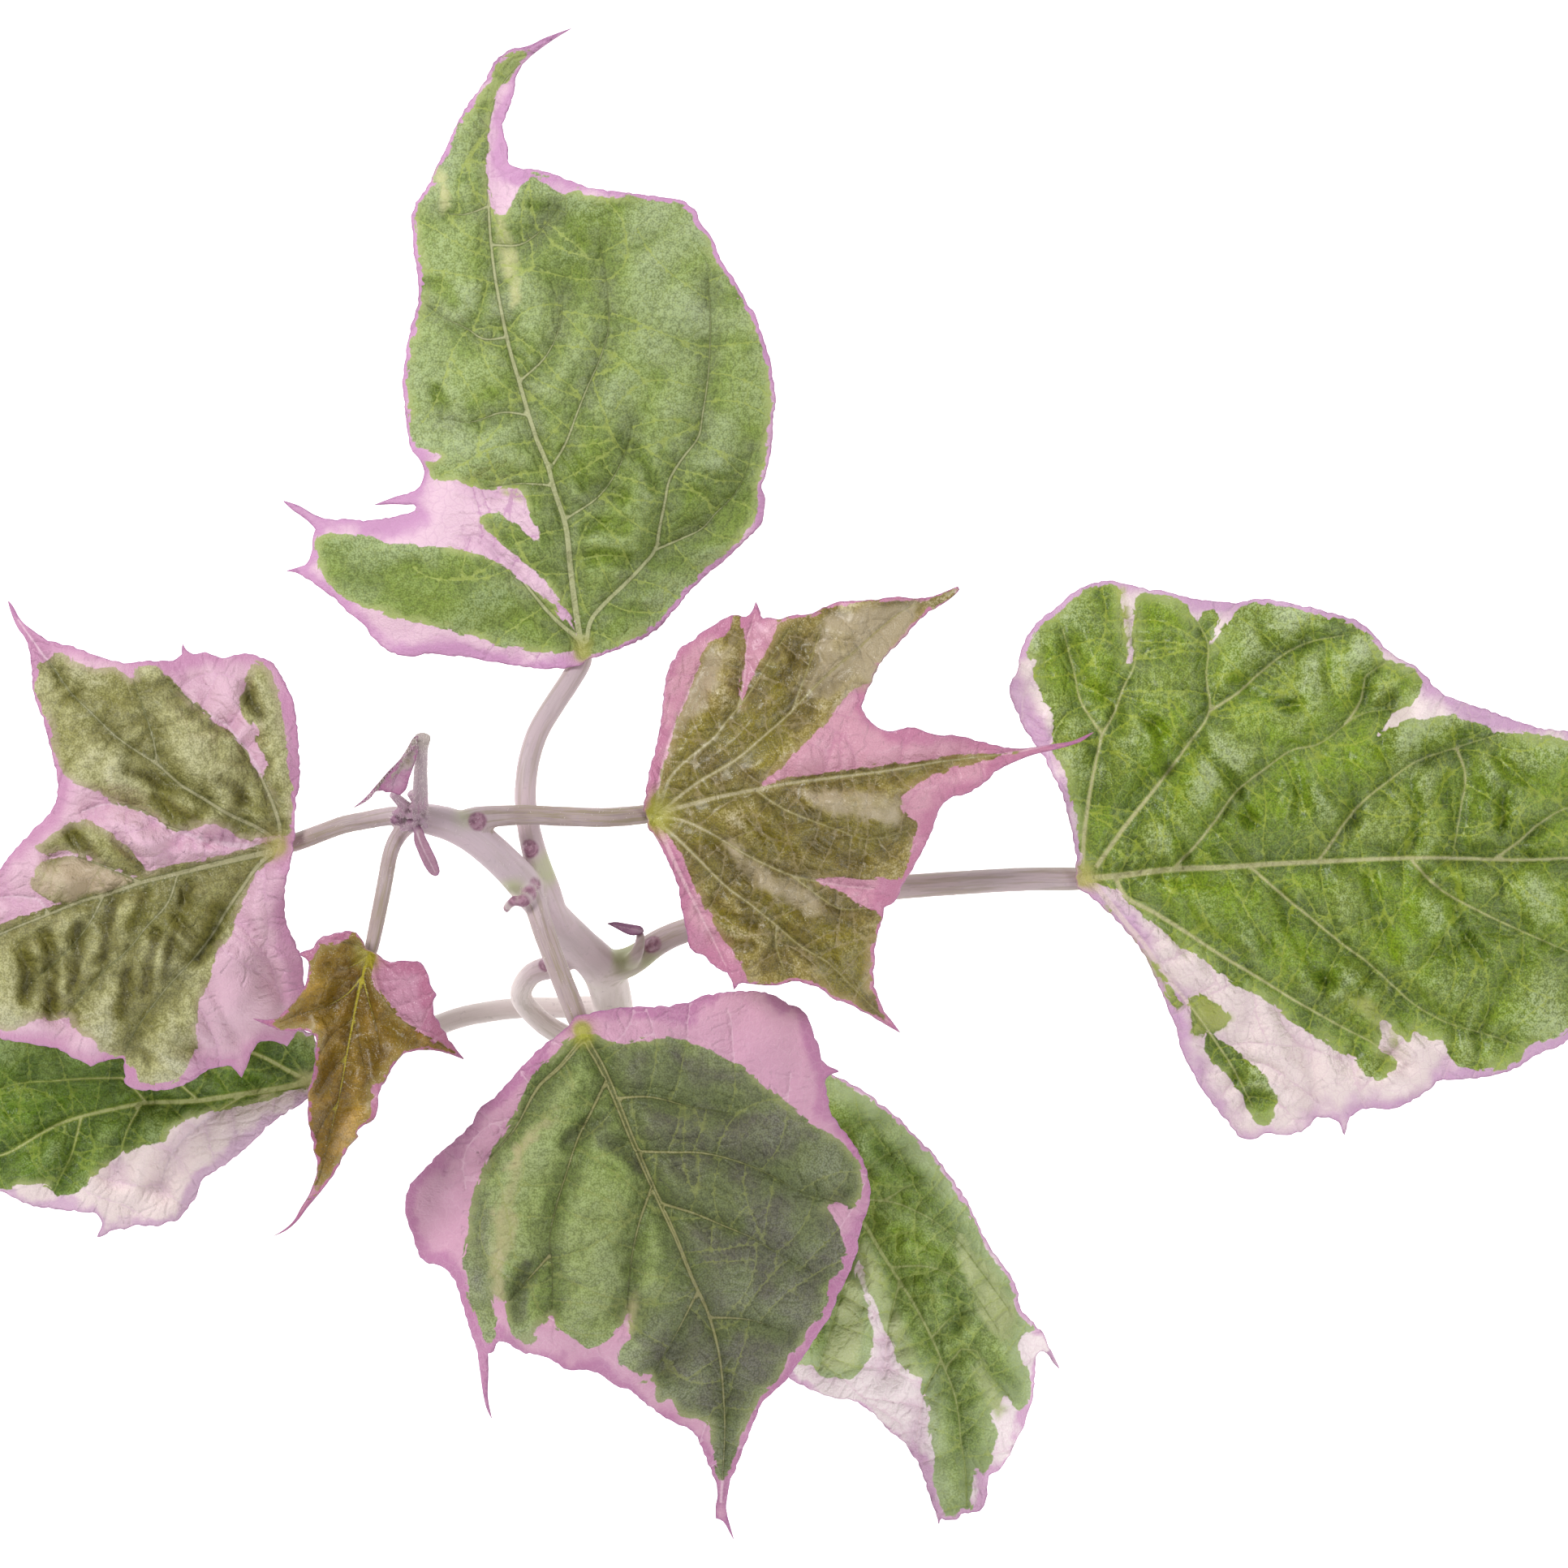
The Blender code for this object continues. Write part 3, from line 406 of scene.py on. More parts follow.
def grow_blade(name, leaf, seed):
    """A blade's mesh: its filled outline with points along every vein, lifted into shape and given a back."""
    leaf = PLAIN_BLADE | leaf
    outline = waved_rim(leaf, seed)
    drawn_veins = [leaf["midrib"]] + leaf["veins"]
    main_lines = [even_steps(flowing(vein), FINE_STEP) for vein in drawn_veins]
    rungs = side_veins(outline, main_lines, [], leaf["net"], RUNG_REACH, seed)
    twigs = side_veins(outline, rungs, main_lines, TWIG_SPACING, TWIG_REACH, seed + 1)
    plan, faces = filled(outline, main_lines + [even_steps(line, FINE_STEP) for line in rungs + twigs])

    # Distances in mm from every point of the plan to the veins, the margin and the folds.
    base = np.array(leaf["midrib"][0])
    vein_spots, vein_halves = [], []
    for number, line in enumerate(main_lines):
        kind = "palmate" if np.linalg.norm(line[0] - base) < PALMATE_REACH else "side"
        root = leaf["rib"] * RIB_SHARE[kind if number else "midrib"]
        fine = even_steps([tuple(p) for p in line], 1.0)
        vein_spots += [tuple(p) for p in fine]
        vein_halves += list(np.linspace(root, root * RIB_TAPER, len(fine)))
    vein = nearest(plan, vein_spots, vein_halves)
    rung_gap = nearest(plan, [tuple(p) for line in rungs for p in even_steps(line, 1.5)])
    twig_gap = nearest(plan, [tuple(p) for line in twigs for p in even_steps(line, 1.5)])
    net_gap = np.minimum(rung_gap, twig_gap + TWIG_FAINTNESS)
    edge_gap = nearest(plan, even_steps(outline, 1.5, closed=True))
    fold = np.full(len(plan), FAR)
    for line in leaf["folds"]:
        fold = np.minimum(fold, nearest(plan, even_steps(flowing(line), 2.0)))

    # Heights in mm of the top and the underside.
    level = sheet(leaf["heights"])(plan)
    for number, line in enumerate(drawn_veins):
        crease = bell(nearest(plan, even_steps(line, 3.0)), CREASE_REACH)
        level -= CREASE_DEPTH["side" if number else "midrib"] * crease
    fade = 1 - bell(edge_gap, REACH["margin"])
    beside = np.maximum(vein, 0)
    bulge = leaf["pucker"] * (1 - bell(beside, REACH["pucker"])) - leaf["pucker"] * 0.6
    dome = 1 - bell(rung_gap, REACH["quilt"])
    bulge += leaf["quilt"] * (dome * (1 + 0.7 * soft_noise(plan, HILLS["quilt"], seed + 3)) - 0.5)
    swell = leaf["swell"] * (1.7 * np.abs(soft_noise(plan, HILLS["swell"], seed, leaf["lie"])) - 0.8)
    swell += leaf["crinkle"] * soft_noise(plan, HILLS["crinkle"], seed + 9)
    swell *= 1 - bell(beside, REACH["swell"])
    swell -= FOLD_DEPTH * (bell(fold, FOLD_REACH) - SHOULDER * bell(fold - SHOULDER_AT, FOLD_REACH))
    ruffle = leaf["ruffle"] * soft_noise(plan, HILLS["ruffle"], seed + 50) * bell(edge_gap, REACH["ruffle"])
    top = level + SOLID_THICKNESS / 2 + BLADE_THICKNESS / 2 + (bulge + swell) * fade + ruffle
    rib = UNDER_RIB * leaf["rib"] * bell(np.maximum(vein + 0.2, 0), REACH["rib"]) * fade
    under = np.maximum(top - BLADE_THICKNESS - rib, 0.0)
    top = np.maximum(top, under + BLADE_THICKNESS)
    mesh, spots, back = thick_sheet(name, plan, faces, under, top)

    # What the tissue's material reads: signed distances in mm to the borders of its patches and of the painted
    # shade in troughs and folds, and the relief, which the material paints as shade in the dips and highlights
    # on the tops.
    green = np.full(len(plan), FAR if leaf["ground"] == "green" else -FAR)
    for kind, ring in leaf["patches"]:
        gap = border_distance(plan, ring)
        green = np.maximum(green, gap) if kind == "green" else np.minimum(green, -gap)
    pale, deep = np.full(len(plan), -FAR), FOLD_SHADE[0] - FOLD_SHADE[1] * fold
    for ring in leaf["pale"]:
        pale = np.maximum(pale, border_distance(plan, ring))
    for ring in leaf["deep"]:
        deep = np.maximum(deep, border_distance(plan, ring))
    # The relief, low in the dips and high on the tops, which the material turns into painted shade and painted
    # highlights.
    crest = (bulge + swell) / (leaf["pucker"] * 0.4 + leaf["quilt"] * 0.5 + leaf["swell"] + leaf["crinkle"])
    fields = {"green": np.minimum(green, edge_gap - leaf["rim"]), "pale": pale, "deep": deep, "vein": vein,
              "net": net_gap, "edge": edge_gap, "crest": crest,
              "heart": np.linalg.norm(plan - base, axis=1) * PLAN_MM}
    for key, values in fields.items():
        keep_field(mesh, key, values[spots])
    keep_field(mesh, "back", back)
    return mesh


def node(tree, name, kind, settings, inputs):
    """Adds one shader node with its settings. Its inputs, in order or by key, are values, hex colours or
    links, which name an earlier node and, after a colon, its output."""
    made = tree.nodes.new("ShaderNode" + kind)
    made.name = name
    for key, value in settings.items():
        setattr(made, key, value)
    for key, value in inputs.items() if isinstance(inputs, dict) else enumerate(inputs):
        if isinstance(value, str) and value[0] != "#":
            source, _, output = value.partition(":")
            outputs = tree.nodes[source].outputs
            output = outputs[output] if output else next(o for o in outputs if o.enabled)
            tree.links.new(output, made.inputs[key])
        else:
            made.inputs[key].default_value = linear(value) if isinstance(value, str) else value


def leaf_tissue(name, tint):
    """Living leaf tissue, grown and uncoated: a satin skin of tiny shiny cells over green or blank tissue. It
    gives the eye a fine glitter, partly painted highlights, cloudy greens with painted shade in their dips and
    folds, a bright net of veins and a thin purple rim."""
    skin, tree, shader = material(name, Roughness=tint["roughness"], IOR=1.4, Coat_Weight=tint["coat"],
                                  Coat_Roughness=0.28, Sheen_Weight=tint["sheen"], Sheen_Roughness=0.5,
                                  Sheen_Tint=linear(tint["sheen_tint"]))
    flat, flat_cells = {"noise_dimensions": "2D"}, {"voronoi_dimensions": "2D"}
    smooth, colour = {"interpolation_type": "SMOOTHSTEP"}, {"data_type": "RGBA"}
    blend, add_on = {"operation": "MULTIPLY"}, {"operation": "MULTIPLY_ADD"}
    rows = [(key, "Attribute", {"attribute_name": key}, {})
            for key in ("green", "pale", "deep", "vein", "net", "edge", "crest", "heart", "back")]
    rows += [
        # Patterns in the plan of the leaf: clouds 9, 4.5 and 2.2 mm wide, crumbs of 0.8 mm, and single cells.
        # Real cells are about 0.05 mm wide and are drawn 0.26 mm wide, so that they show.
        ("spot", "TexCoord", {}, {}),
        ("broad", "TexNoise", flat, {"Vector": "spot:Object", "Scale": 110.0, "Detail": 2.0}),
        ("patchy", "TexNoise", flat, {"Vector": "spot:Object", "Scale": 220.0, "Detail": 2.0}),
        ("middle", "TexNoise", flat, {"Vector": "spot:Object", "Scale": 460.0, "Detail": 2.0}),
        ("fine", "TexNoise", flat, {"Vector": "spot:Object", "Scale": 1250.0, "Detail": 2.0}),
        ("skin_cells", "TexVoronoi", flat_cells, {"Vector": "spot:Object", "Scale": 3900.0}),
        ("grain", "MapRange", {}, ("skin_cells:Distance", 0.0, 0.85, 1.0, 0.0)),
        ("wander", "TexNoise", flat, {"Vector": "spot:Object", "Scale": 520.0, "Detail": 1.0}),
        ("bent", "VectorMath", add_on, ("wander:Color", (0.0014, 0.0014, 0.0), "spot:Object")),
        ("mesh", "TexVoronoi", {**flat_cells, "feature": "DISTANCE_TO_EDGE"},
         {"Vector": "bent", "Scale": 1000 / tint["mesh_mm"]}),
        ("cells", "TexVoronoi", flat_cells, {"Vector": "bent", "Scale": 1000 / tint["mesh_mm"]}),
        ("cell", "SeparateColor", {}, ("cells:Color",)),
        # Green tissue: darker in the dips, partly a deeper green and partly painted shade; vivid in clouds,
        # partly a painted glow of light through the tissue; greyer and darker beside the main veins, painted
        # sheen and shade of the tissue dipping there; lighter on the tops, partly wax bloom and partly painted
        # highlights; and every cell differs a little in brightness, partly as painted glitter.
        ("tone_half", "Math", add_on, ("middle", 1.1, "crest:Fac")),
        ("tone", "Math", add_on, ("patchy", 0.9, "tone_half")),
        ("dark_share", "MapRange", smooth, ("tone", 0.25, 1.2, 1.0, 0.0)),
        ("lit", "Mix", colour, {0: "dark_share", 6: tint["light"], 7: tint["dark"]}),
        ("deep_half", "Math", add_on, ("broad", 9.0, "deep:Fac")),
        ("deep_edge", "Math", add_on, ("middle", 5.0, "deep_half")),
        ("deep_share", "MapRange", smooth, ("deep_edge", 3.5, 10.5, 0.0, tint["deep_share"])),
        ("shaded", "Mix", colour, {0: "deep_share", 6: "lit", 7: tint["deep"]}),
        # Vivid clouds: partly the tissue's own yellow-green, partly a painted glow of light shining through
        # it.
        ("bright_share", "MapRange", smooth, ("broad", 0.44, 0.6, 0.0, tint["vivid"])),
        ("vivid", "Mix", colour, {0: "bright_share", 6: "shaded", 7: tint["bright"]}),
        # Beside the main veins the colour is painted sheen and shade of the tissue dipping there.
        ("near_vein", "MapRange", smooth, ("vein:Fac", 0.2, 2.6, tint["side"], 0.0)),
        ("grey_cloud", "MapRange", smooth, ("patchy", 0.36, 0.6, 0.35, 1.0)),
        ("grey_share", "Math", blend, ("near_vein", "grey_cloud")),
        ("greyed", "Mix", colour, {0: "grey_share", 6: "vivid", 7: tint["vein_side"]}),
        ("mottle_share", "MapRange", smooth, ("cell", 0.0, 1.0, 0.0, 0.25)),
        ("mottled", "Mix", colour, {0: "mottle_share", 6: "greyed", 7: tint["mottle"]}),
        # Painted highlights: on the tops of the relief and on single skin cells the colour turns to the pale
        # grey of a wax bloom lit by the lamps, less so in the troughs.
        ("glint_cells", "Math", add_on, ("grain", 1.1, "tone")),
        ("glint_half", "Math", add_on, ("deep_share", -1.1, "glint_cells")),
        ("glint", "Math", add_on, ("fine", 2.0, "glint_half")),
        ("wax_share", "MapRange", smooth, ("glint", 2.3, 4.1, 0.0, tint["wax_highlight_strength"])),
        ("waxed", "Mix", colour, {0: "wax_share", 6: "mottled", 7: tint["wax"]}),
        # Every cell a little lighter or darker: partly the cells' own tone, partly a painted glitter of light.
        ("crumbs", "Math", add_on, ("fine", 1.6, "grain")),
        ("speckle", "MapRange", smooth, ("crumbs", 0.75, 1.8, 1 - tint["speckle"], 1 + tint["speckle"])),
        ("speckle_colour", "CombineXYZ", {}, ("speckle", "speckle", "speckle")),
        ("speckled", "Mix", {**colour, "blend_type": "MULTIPLY"}, {0: 1.0, 6: "waxed", 7: "speckle_colour"}),
        # Blank tissue: pink at the margin, pinker in random clouds and, as painted shade, in the dips; creamy
        # further in.
        ("cream_half", "Math", add_on, ("middle", 2.0, "edge:Fac")),
        ("cream_edge", "Math", add_on, ("broad", 5.0, "cream_half")),
        ("cream_share", "MapRange", smooth, ("cream_edge", 3.8, 3.5 + tint["cream_mm"], 0.0, 1.0)),
        ("blank_plain", "Mix", colour, {0: "cream_share", 6: tint["pink"], 7: tint["cream"]}),
        ("blush_share", "MapRange", smooth, ("tone", -0.1, 1.1, 0.45, 0.0)),
        ("blank", "Mix", colour, {0: "blush_share", 6: "blank_plain", 7: tint["pink"]}),
        # The border between them runs along single cells, and here and there fades through a pale fringe.
        ("border_half", "Math", add_on, ("middle", 0.7, "green:Fac")),
        ("border_cells", "Math", add_on, ("cell", 0.45, "border_half")),
        ("border", "Math", add_on, ("fine", 0.35, "border_cells")),
        ("is_green", "MapRange", smooth, ("border", 0.68, 0.88, 0.0, 1.0)),
        ("fringe_band", "MapRange", smooth, ("border", 0.8, 0.8 + tint["fringe_mm"], 1.0, 0.0)),
        ("fringe_cloud", "MapRange", smooth, ("broad", 0.42, 0.58, tint["fringe_all"], 0.9)),
        ("fringe_share", "Math", blend, ("fringe_band", "fringe_cloud")),
        ("fringed", "Mix", colour, {0: "fringe_share", 6: "speckled", 7: tint["fringe"]}),
        ("tissue", "Mix", colour, {0: "is_green", 6: "blank", 7: "fringed"}),
        ("pale_half", "Math", add_on, ("middle", 1.3, "pale:Fac")),
        ("pale_edge", "Math", add_on, ("cell", 0.7, "pale_half")),
        ("pale_band", "MapRange", smooth, ("pale_edge", 0.5, 1.9, 0.0, 1.0)),
        ("pale_cloud", "MapRange", smooth, ("patchy", 0.36, 0.56, 0.55, 0.92)),
        ("pale_share", "Math", blend, ("pale_band", "pale_cloud")),
        ("paled", "Mix", colour, {0: "pale_share", 6: "tissue", 7: tint["pale"]}),
        # Small veins over all of it, drawn in full, and between them the finest net, only just seen.
        ("line_colour", "Mix", colour, {0: "is_green", 6: tint["pink_vein"], 7: tint["net_vein"]}),
        ("net_share", "MapRange", smooth, ("net:Fac", 0.02, 0.15, tint["net"], 0.0)),
        ("netted", "Mix", colour, {0: "net_share", 6: "paled", 7: "line_colour"}),
        ("mesh_share", "MapRange", smooth, ("mesh", 0.02, 0.09, tint["mesh"], 0.0)),
        ("meshed", "Mix", colour, {0: "mesh_share", 6: "netted", 7: "line_colour"}),
        # Main veins: a light core between greener sides, darker again at the foot of a stout midrib, with the
        # yellow-green heart where they all meet.
        ("core_share", "MapRange", smooth, ("vein:Fac", tint["core"] - 0.18, tint["core"], 1.0, 0.0)),
        ("vein_green", "Mix", colour, {0: "core_share", 6: tint["vein_edge"], 7: tint["vein"]}),
        ("trunk_share", "MapRange", smooth, ("vein:Fac", -0.42, -0.3, tint["trunk"], 0.0)),
        ("trunk", "Mix", colour, {0: "trunk_share", 6: "vein_green", 7: tint["vein_edge"]}),
        ("vein_colour", "Mix", colour, {0: "is_green", 6: tint["blank_vein"], 7: "trunk"}),
        ("vein_wobble", "Math", add_on, ("fine", 0.12, "vein:Fac")),
        ("vein_share", "MapRange", smooth, ("vein_wobble", -0.08, 0.14, tint["vein_share"], 0.0)),
        ("veined", "Mix", colour, {0: "vein_share", 6: "meshed", 7: "vein_colour"}),
        ("heart_wobble", "Math", add_on, ("middle", 0.8, "heart:Fac")),
        ("heart_round", "MapRange", smooth, ("heart_wobble", 0.8, 0.4 + tint["heart_mm"], 0.9, 0.0)),
        ("heart_veins", "MapRange", smooth, ("vein:Fac", 0.2, 1.0, 1.0, 0.3)),
        ("heart_share", "Math", blend, ("heart_round", "heart_veins")),
        ("hearted", "Mix", colour, {0: "heart_share", 6: "veined", 7: tint["heart"]}),
        ("rim_wobble", "Math", add_on, ("fine", 0.2, "edge:Fac")),
        ("rim_share", "MapRange", smooth, ("rim_wobble", 0.15, 0.34, tint["rim_line"], 0.0)),
        ("rimmed", "Mix", colour, {0: "rim_share", 6: "hearted", 7: tint["rim_colour"]}),
        # The underside is paler and duller.
        ("back_colour", "Mix", colour, {0: "is_green", 6: tint["blank_back"], 7: tint["green_back"]}),
        ("back_share", "Math", blend, ("back:Fac", 0.55)),
        ("finished", "Mix", colour, {0: "back_share", 6: "rimmed", 7: "back_colour"}),
        # The skin's relief: crumbs and cells stand up, and the small and main veins lie in furrows.
        ("shine", "MapRange", smooth, ("grain", 0.3, 0.7, tint["roughness"] + 0.12, tint["roughness"] - 0.1)),
        ("furrow", "MapRange", smooth, ("mesh", 0.0, 0.25, 0.0, 0.1)),
        ("groove", "MapRange", smooth, ("vein:Fac", -0.2, 0.5, 0.0, 1.3)),
        ("crease", "MapRange", smooth, ("net:Fac", 0.0, 0.45, 0.0, 0.9)),
        ("relief_fine", "Math", add_on, ("fine", 0.7, "furrow")),
        ("relief_main", "Math", {"operation": "ADD"}, ("relief_fine", "groove")),
        ("relief_net", "Math", {"operation": "ADD"}, ("relief_main", "crease")),
        ("relief", "Math", add_on, ("grain", 0.3, "relief_net")),
        ("bump", "Bump", {}, {"Height": "relief", "Strength": tint["bump"], "Distance": 0.00025})]
    for name, kind, settings, inputs in rows:
        node(tree, name, kind, settings, inputs)
    for socket, source in (("Base Color", "finished"), ("Roughness", "shine"), ("Normal", "bump")):
        tree.links.new(next(o for o in tree.nodes[source].outputs if o.enabled), shader.inputs[socket])
    return skin


def add_piece(name, mesh, skin, slot, *nodes):
    """A finished piece in the scene, riding on the sprig and standing for its solids."""
    piece = bpy.data.objects.new(name, mesh)
    bpy.context.scene.collection.objects.link(piece)
    mesh.materials.append(skin)
    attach(piece, "root")
    if nodes:
        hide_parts(*nodes)


# Each tint's colour for troughs and folds is painted shade over a deeper green, its colour for the tops
# painted highlights over a wax bloom, and its colour beside the main veins painted sheen and shade.
BASE_TINT = {
    "roughness": 0.5, "coat": 0.0, "sheen": 0.0, "sheen_tint": "#ffffff", "mesh_mm": 1.3, "bump": 0.7,
    "light": "#8b9c52", "dark": "#52651f", "deep": "#5c7020", "deep_share": 0.7, "trunk": 0.0,
    "bright": "#7d9426", "vivid": 0.45, "mottle": "#6f8438", "wax": "#b3bf98", "wax_highlight_strength": 0.6,
    "speckle": 0.24, "pale": "#c3c28a", "fringe": "#a9b470", "fringe_mm": 1.2, "fringe_all": 0.0,
    "vein": "#94965c", "vein_edge": "#6d7a35", "vein_share": 0.85, "core": -0.06, "vein_side": "#6f7a50",
    "side": 0.5, "net_vein": "#96a548", "net": 0.3, "mesh": 0.16, "pink": "#cb95be", "cream": "#e6c3d4",
    "cream_mm": 2.2, "blank_vein": "#d8b0c8", "pink_vein": "#c28fb4", "rim_line": 0.5,
    "rim_colour": "#a5679a", "heart": "#a3a552", "heart_mm": 3.0, "green_back": "#9fb08c",
    "blank_back": "#dcb6d0"}

# The top leaf: a broad, matt sage-green blade that narrows to a long curled tip, with three pink-edged teeth
# at its lower left.
TOP_LEAF = {
    "outline": stroke("""
      722,815 765,800 803,782 828,757 848,732 873,707 898,687 919,666 939,645 943,624 943,610 938,600
      943,587 951,551 954,510 957,493 954,468 950,444 941,415 931,386 919,367 904,340 890,321 881,298
      873,282 863,272 859,259 844,245 823,240 800,237 775,234 749,231 724,227 699,218 674,209 650,204
      635,203 626,197 625,178 620,162 618,149 624,133 631,112 633,97 638,79 653,62 674,46 704,27 687,33
      666,41 650,49 628,53 616,60 604,71 599,83 589,102 575,120 562,143 550,170 537,197 525,224 510,245
      504,265 506,286 507,307 512,336 514,357 512,375 505,398 500,423 497,448 494,473 497,500 500,526
      504,551 514,564 521,578 519,593 510,603 487,611 458,622 487,621 512,623 512,628 500,632 475,637
      450,640 425,638 400,638 384,632 367,622 345,615 359,628 376,640 386,651 384,660 381,682 376,695
      349,703 363,705 380,716 398,728 415,742 430,757 448,770 458,786 483,805 508,810 525,806 550,809
      575,810 600,815 625,819 650,823 674,825 699,824 720,819"""),
    "midrib": stroke("""
      718,805 710,755 703,700 697,647 682,601 676,576 662,543 650,506 639,468 628,431 618,386 610,344
      604,298 601,257 601,207 601,166 606,128 616,100 637,75 692,33"""),
    "veins": strokes("""
      682,572 697,547 711,510 724,477 740,440 750,402 749,373 745,332 738,294 /
      723,790 728,765 749,740 770,720 790,699 807,678 813,649 819,620 825,591 840,566 861,537 865,514
      869,489 873,456 875,398 873,344 / 807,678 834,666 865,651 881,633 902,612 919,583 927,554 /
      711,786 682,761 662,738 637,707 612,682 595,666 560,660 / 676,598 640,596 600,600 /
      625,415 595,417 575,404 546,390 525,375 / 652,512 620,508 580,520 545,515 /
      640,470 672,440 690,400 694,360 / 606,300 640,300 668,280 690,250 / 604,250 570,262 540,258 /
      697,640 740,610 770,560 780,520"""),
    "heights": stroke("""
      720,812,34.6 690,640,35 640,450,31 605,250,18 604,130,5.5 625,85,1.2 650,60,-0.6 704,27,-0.8
      950,510,22 890,321,16 800,240,13 840,740,30 505,286,13 497,480,21 520,590,25 350,615,17 352,703,18
      430,757,24 560,806,29 820,560,31.5 760,380,26 575,500,28.5 560,720,31"""),
    "net": 44, "rib": 0.52, "pucker": 0.9, "quilt": 0.45, "swell": 0.3, "crinkle": 0.12, "ruffle": 0.3,
    "rim": 0.5,
    "folds": strokes("""
      722,600 745,600 768,612 / 768,542 792,566 806,600 / 716,690 745,684 775,692 /
      722,652 746,645 770,650 / 700,560 716,585 722,600 / 520,345 545,352 560,372 /
      650,250 690,262 716,300 / 536,480 548,500"""),
    "patches": [
        ("pink", stroke("""
        612,100 633,90 624,133 618,149 622,165 626,197 640,205 724,228 800,238 765,240 735,240 710,234
        690,234 672,224 655,215 640,224 628,250 622,262 612,262 602,240 600,180 604,140""")),
        ("pink", stroke("""
        516,560 527,575 535,590 560,592 580,600 600,605 620,602 640,603 655,638 668,668 655,662 645,652
        630,641 615,632 600,630 588,640 600,655 640,688 680,728 706,765 712,785 700,768 680,745 650,718
        620,697 590,682 560,674 520,672 480,668 450,660 420,655 395,657 385,665 380,651 370,640 335,615
        400,630 450,633 512,628 512,624 450,622 505,600 515,578 508,564""")),
        ("pink", stroke("""
        375,672 385,680 395,705 415,730 440,745 470,755 500,763 540,773 580,785 620,797 660,803 690,805
        708,800 722,812 720,840 600,832 480,822 440,785 330,713 366,690""")),
        ("pink", stroke("934,598 960,600 958,650 900,700 870,712 905,672 930,640")),
        ("pink", stroke("508,553 530,556 543,562 534,570 512,566"))],
    "pale": strokes("""
      612,262 625,270 634,300 640,335 640,372 630,380 622,340 614,300 /
      536,205 548,215 552,245 546,262 538,240 / 612,600 640,603 652,628 640,622 622,612"""),
    "deep": strokes("""
      610,640 650,620 690,640 700,700 712,780 670,735 630,690 /
      735,780 760,740 800,700 815,650 830,590 860,560 900,570 915,610 880,660 830,720 790,765 750,790 /
      645,222 700,236 770,246 750,300 735,360 700,350 655,350 640,290 /
      395,670 480,680 560,690 620,720 690,790 600,780 500,752 420,725 /
      720,540 760,520 790,560 760,620 725,640 705,600""")}

top_skin = leaf_tissue("sage_leaf_tissue", dict(
    BASE_TINT, light="#93a268", dark="#71843c", deep="#5f7226", deep_share=0.85, bright="#849a38",
    wax="#a9b692", wax_highlight_strength=0.32, vein="#b4b588", vein_edge="#56622a", core=-0.05, vein_side="#787c64",
    side=0.5, net_vein="#a3b058", net=0.8, mesh=0.22, heart="#a9a75a"))
add_piece("top_leaf", grow_blade("top_leaf", TOP_LEAF, 11),
          top_skin, "variegated_leaf", "blade_top")

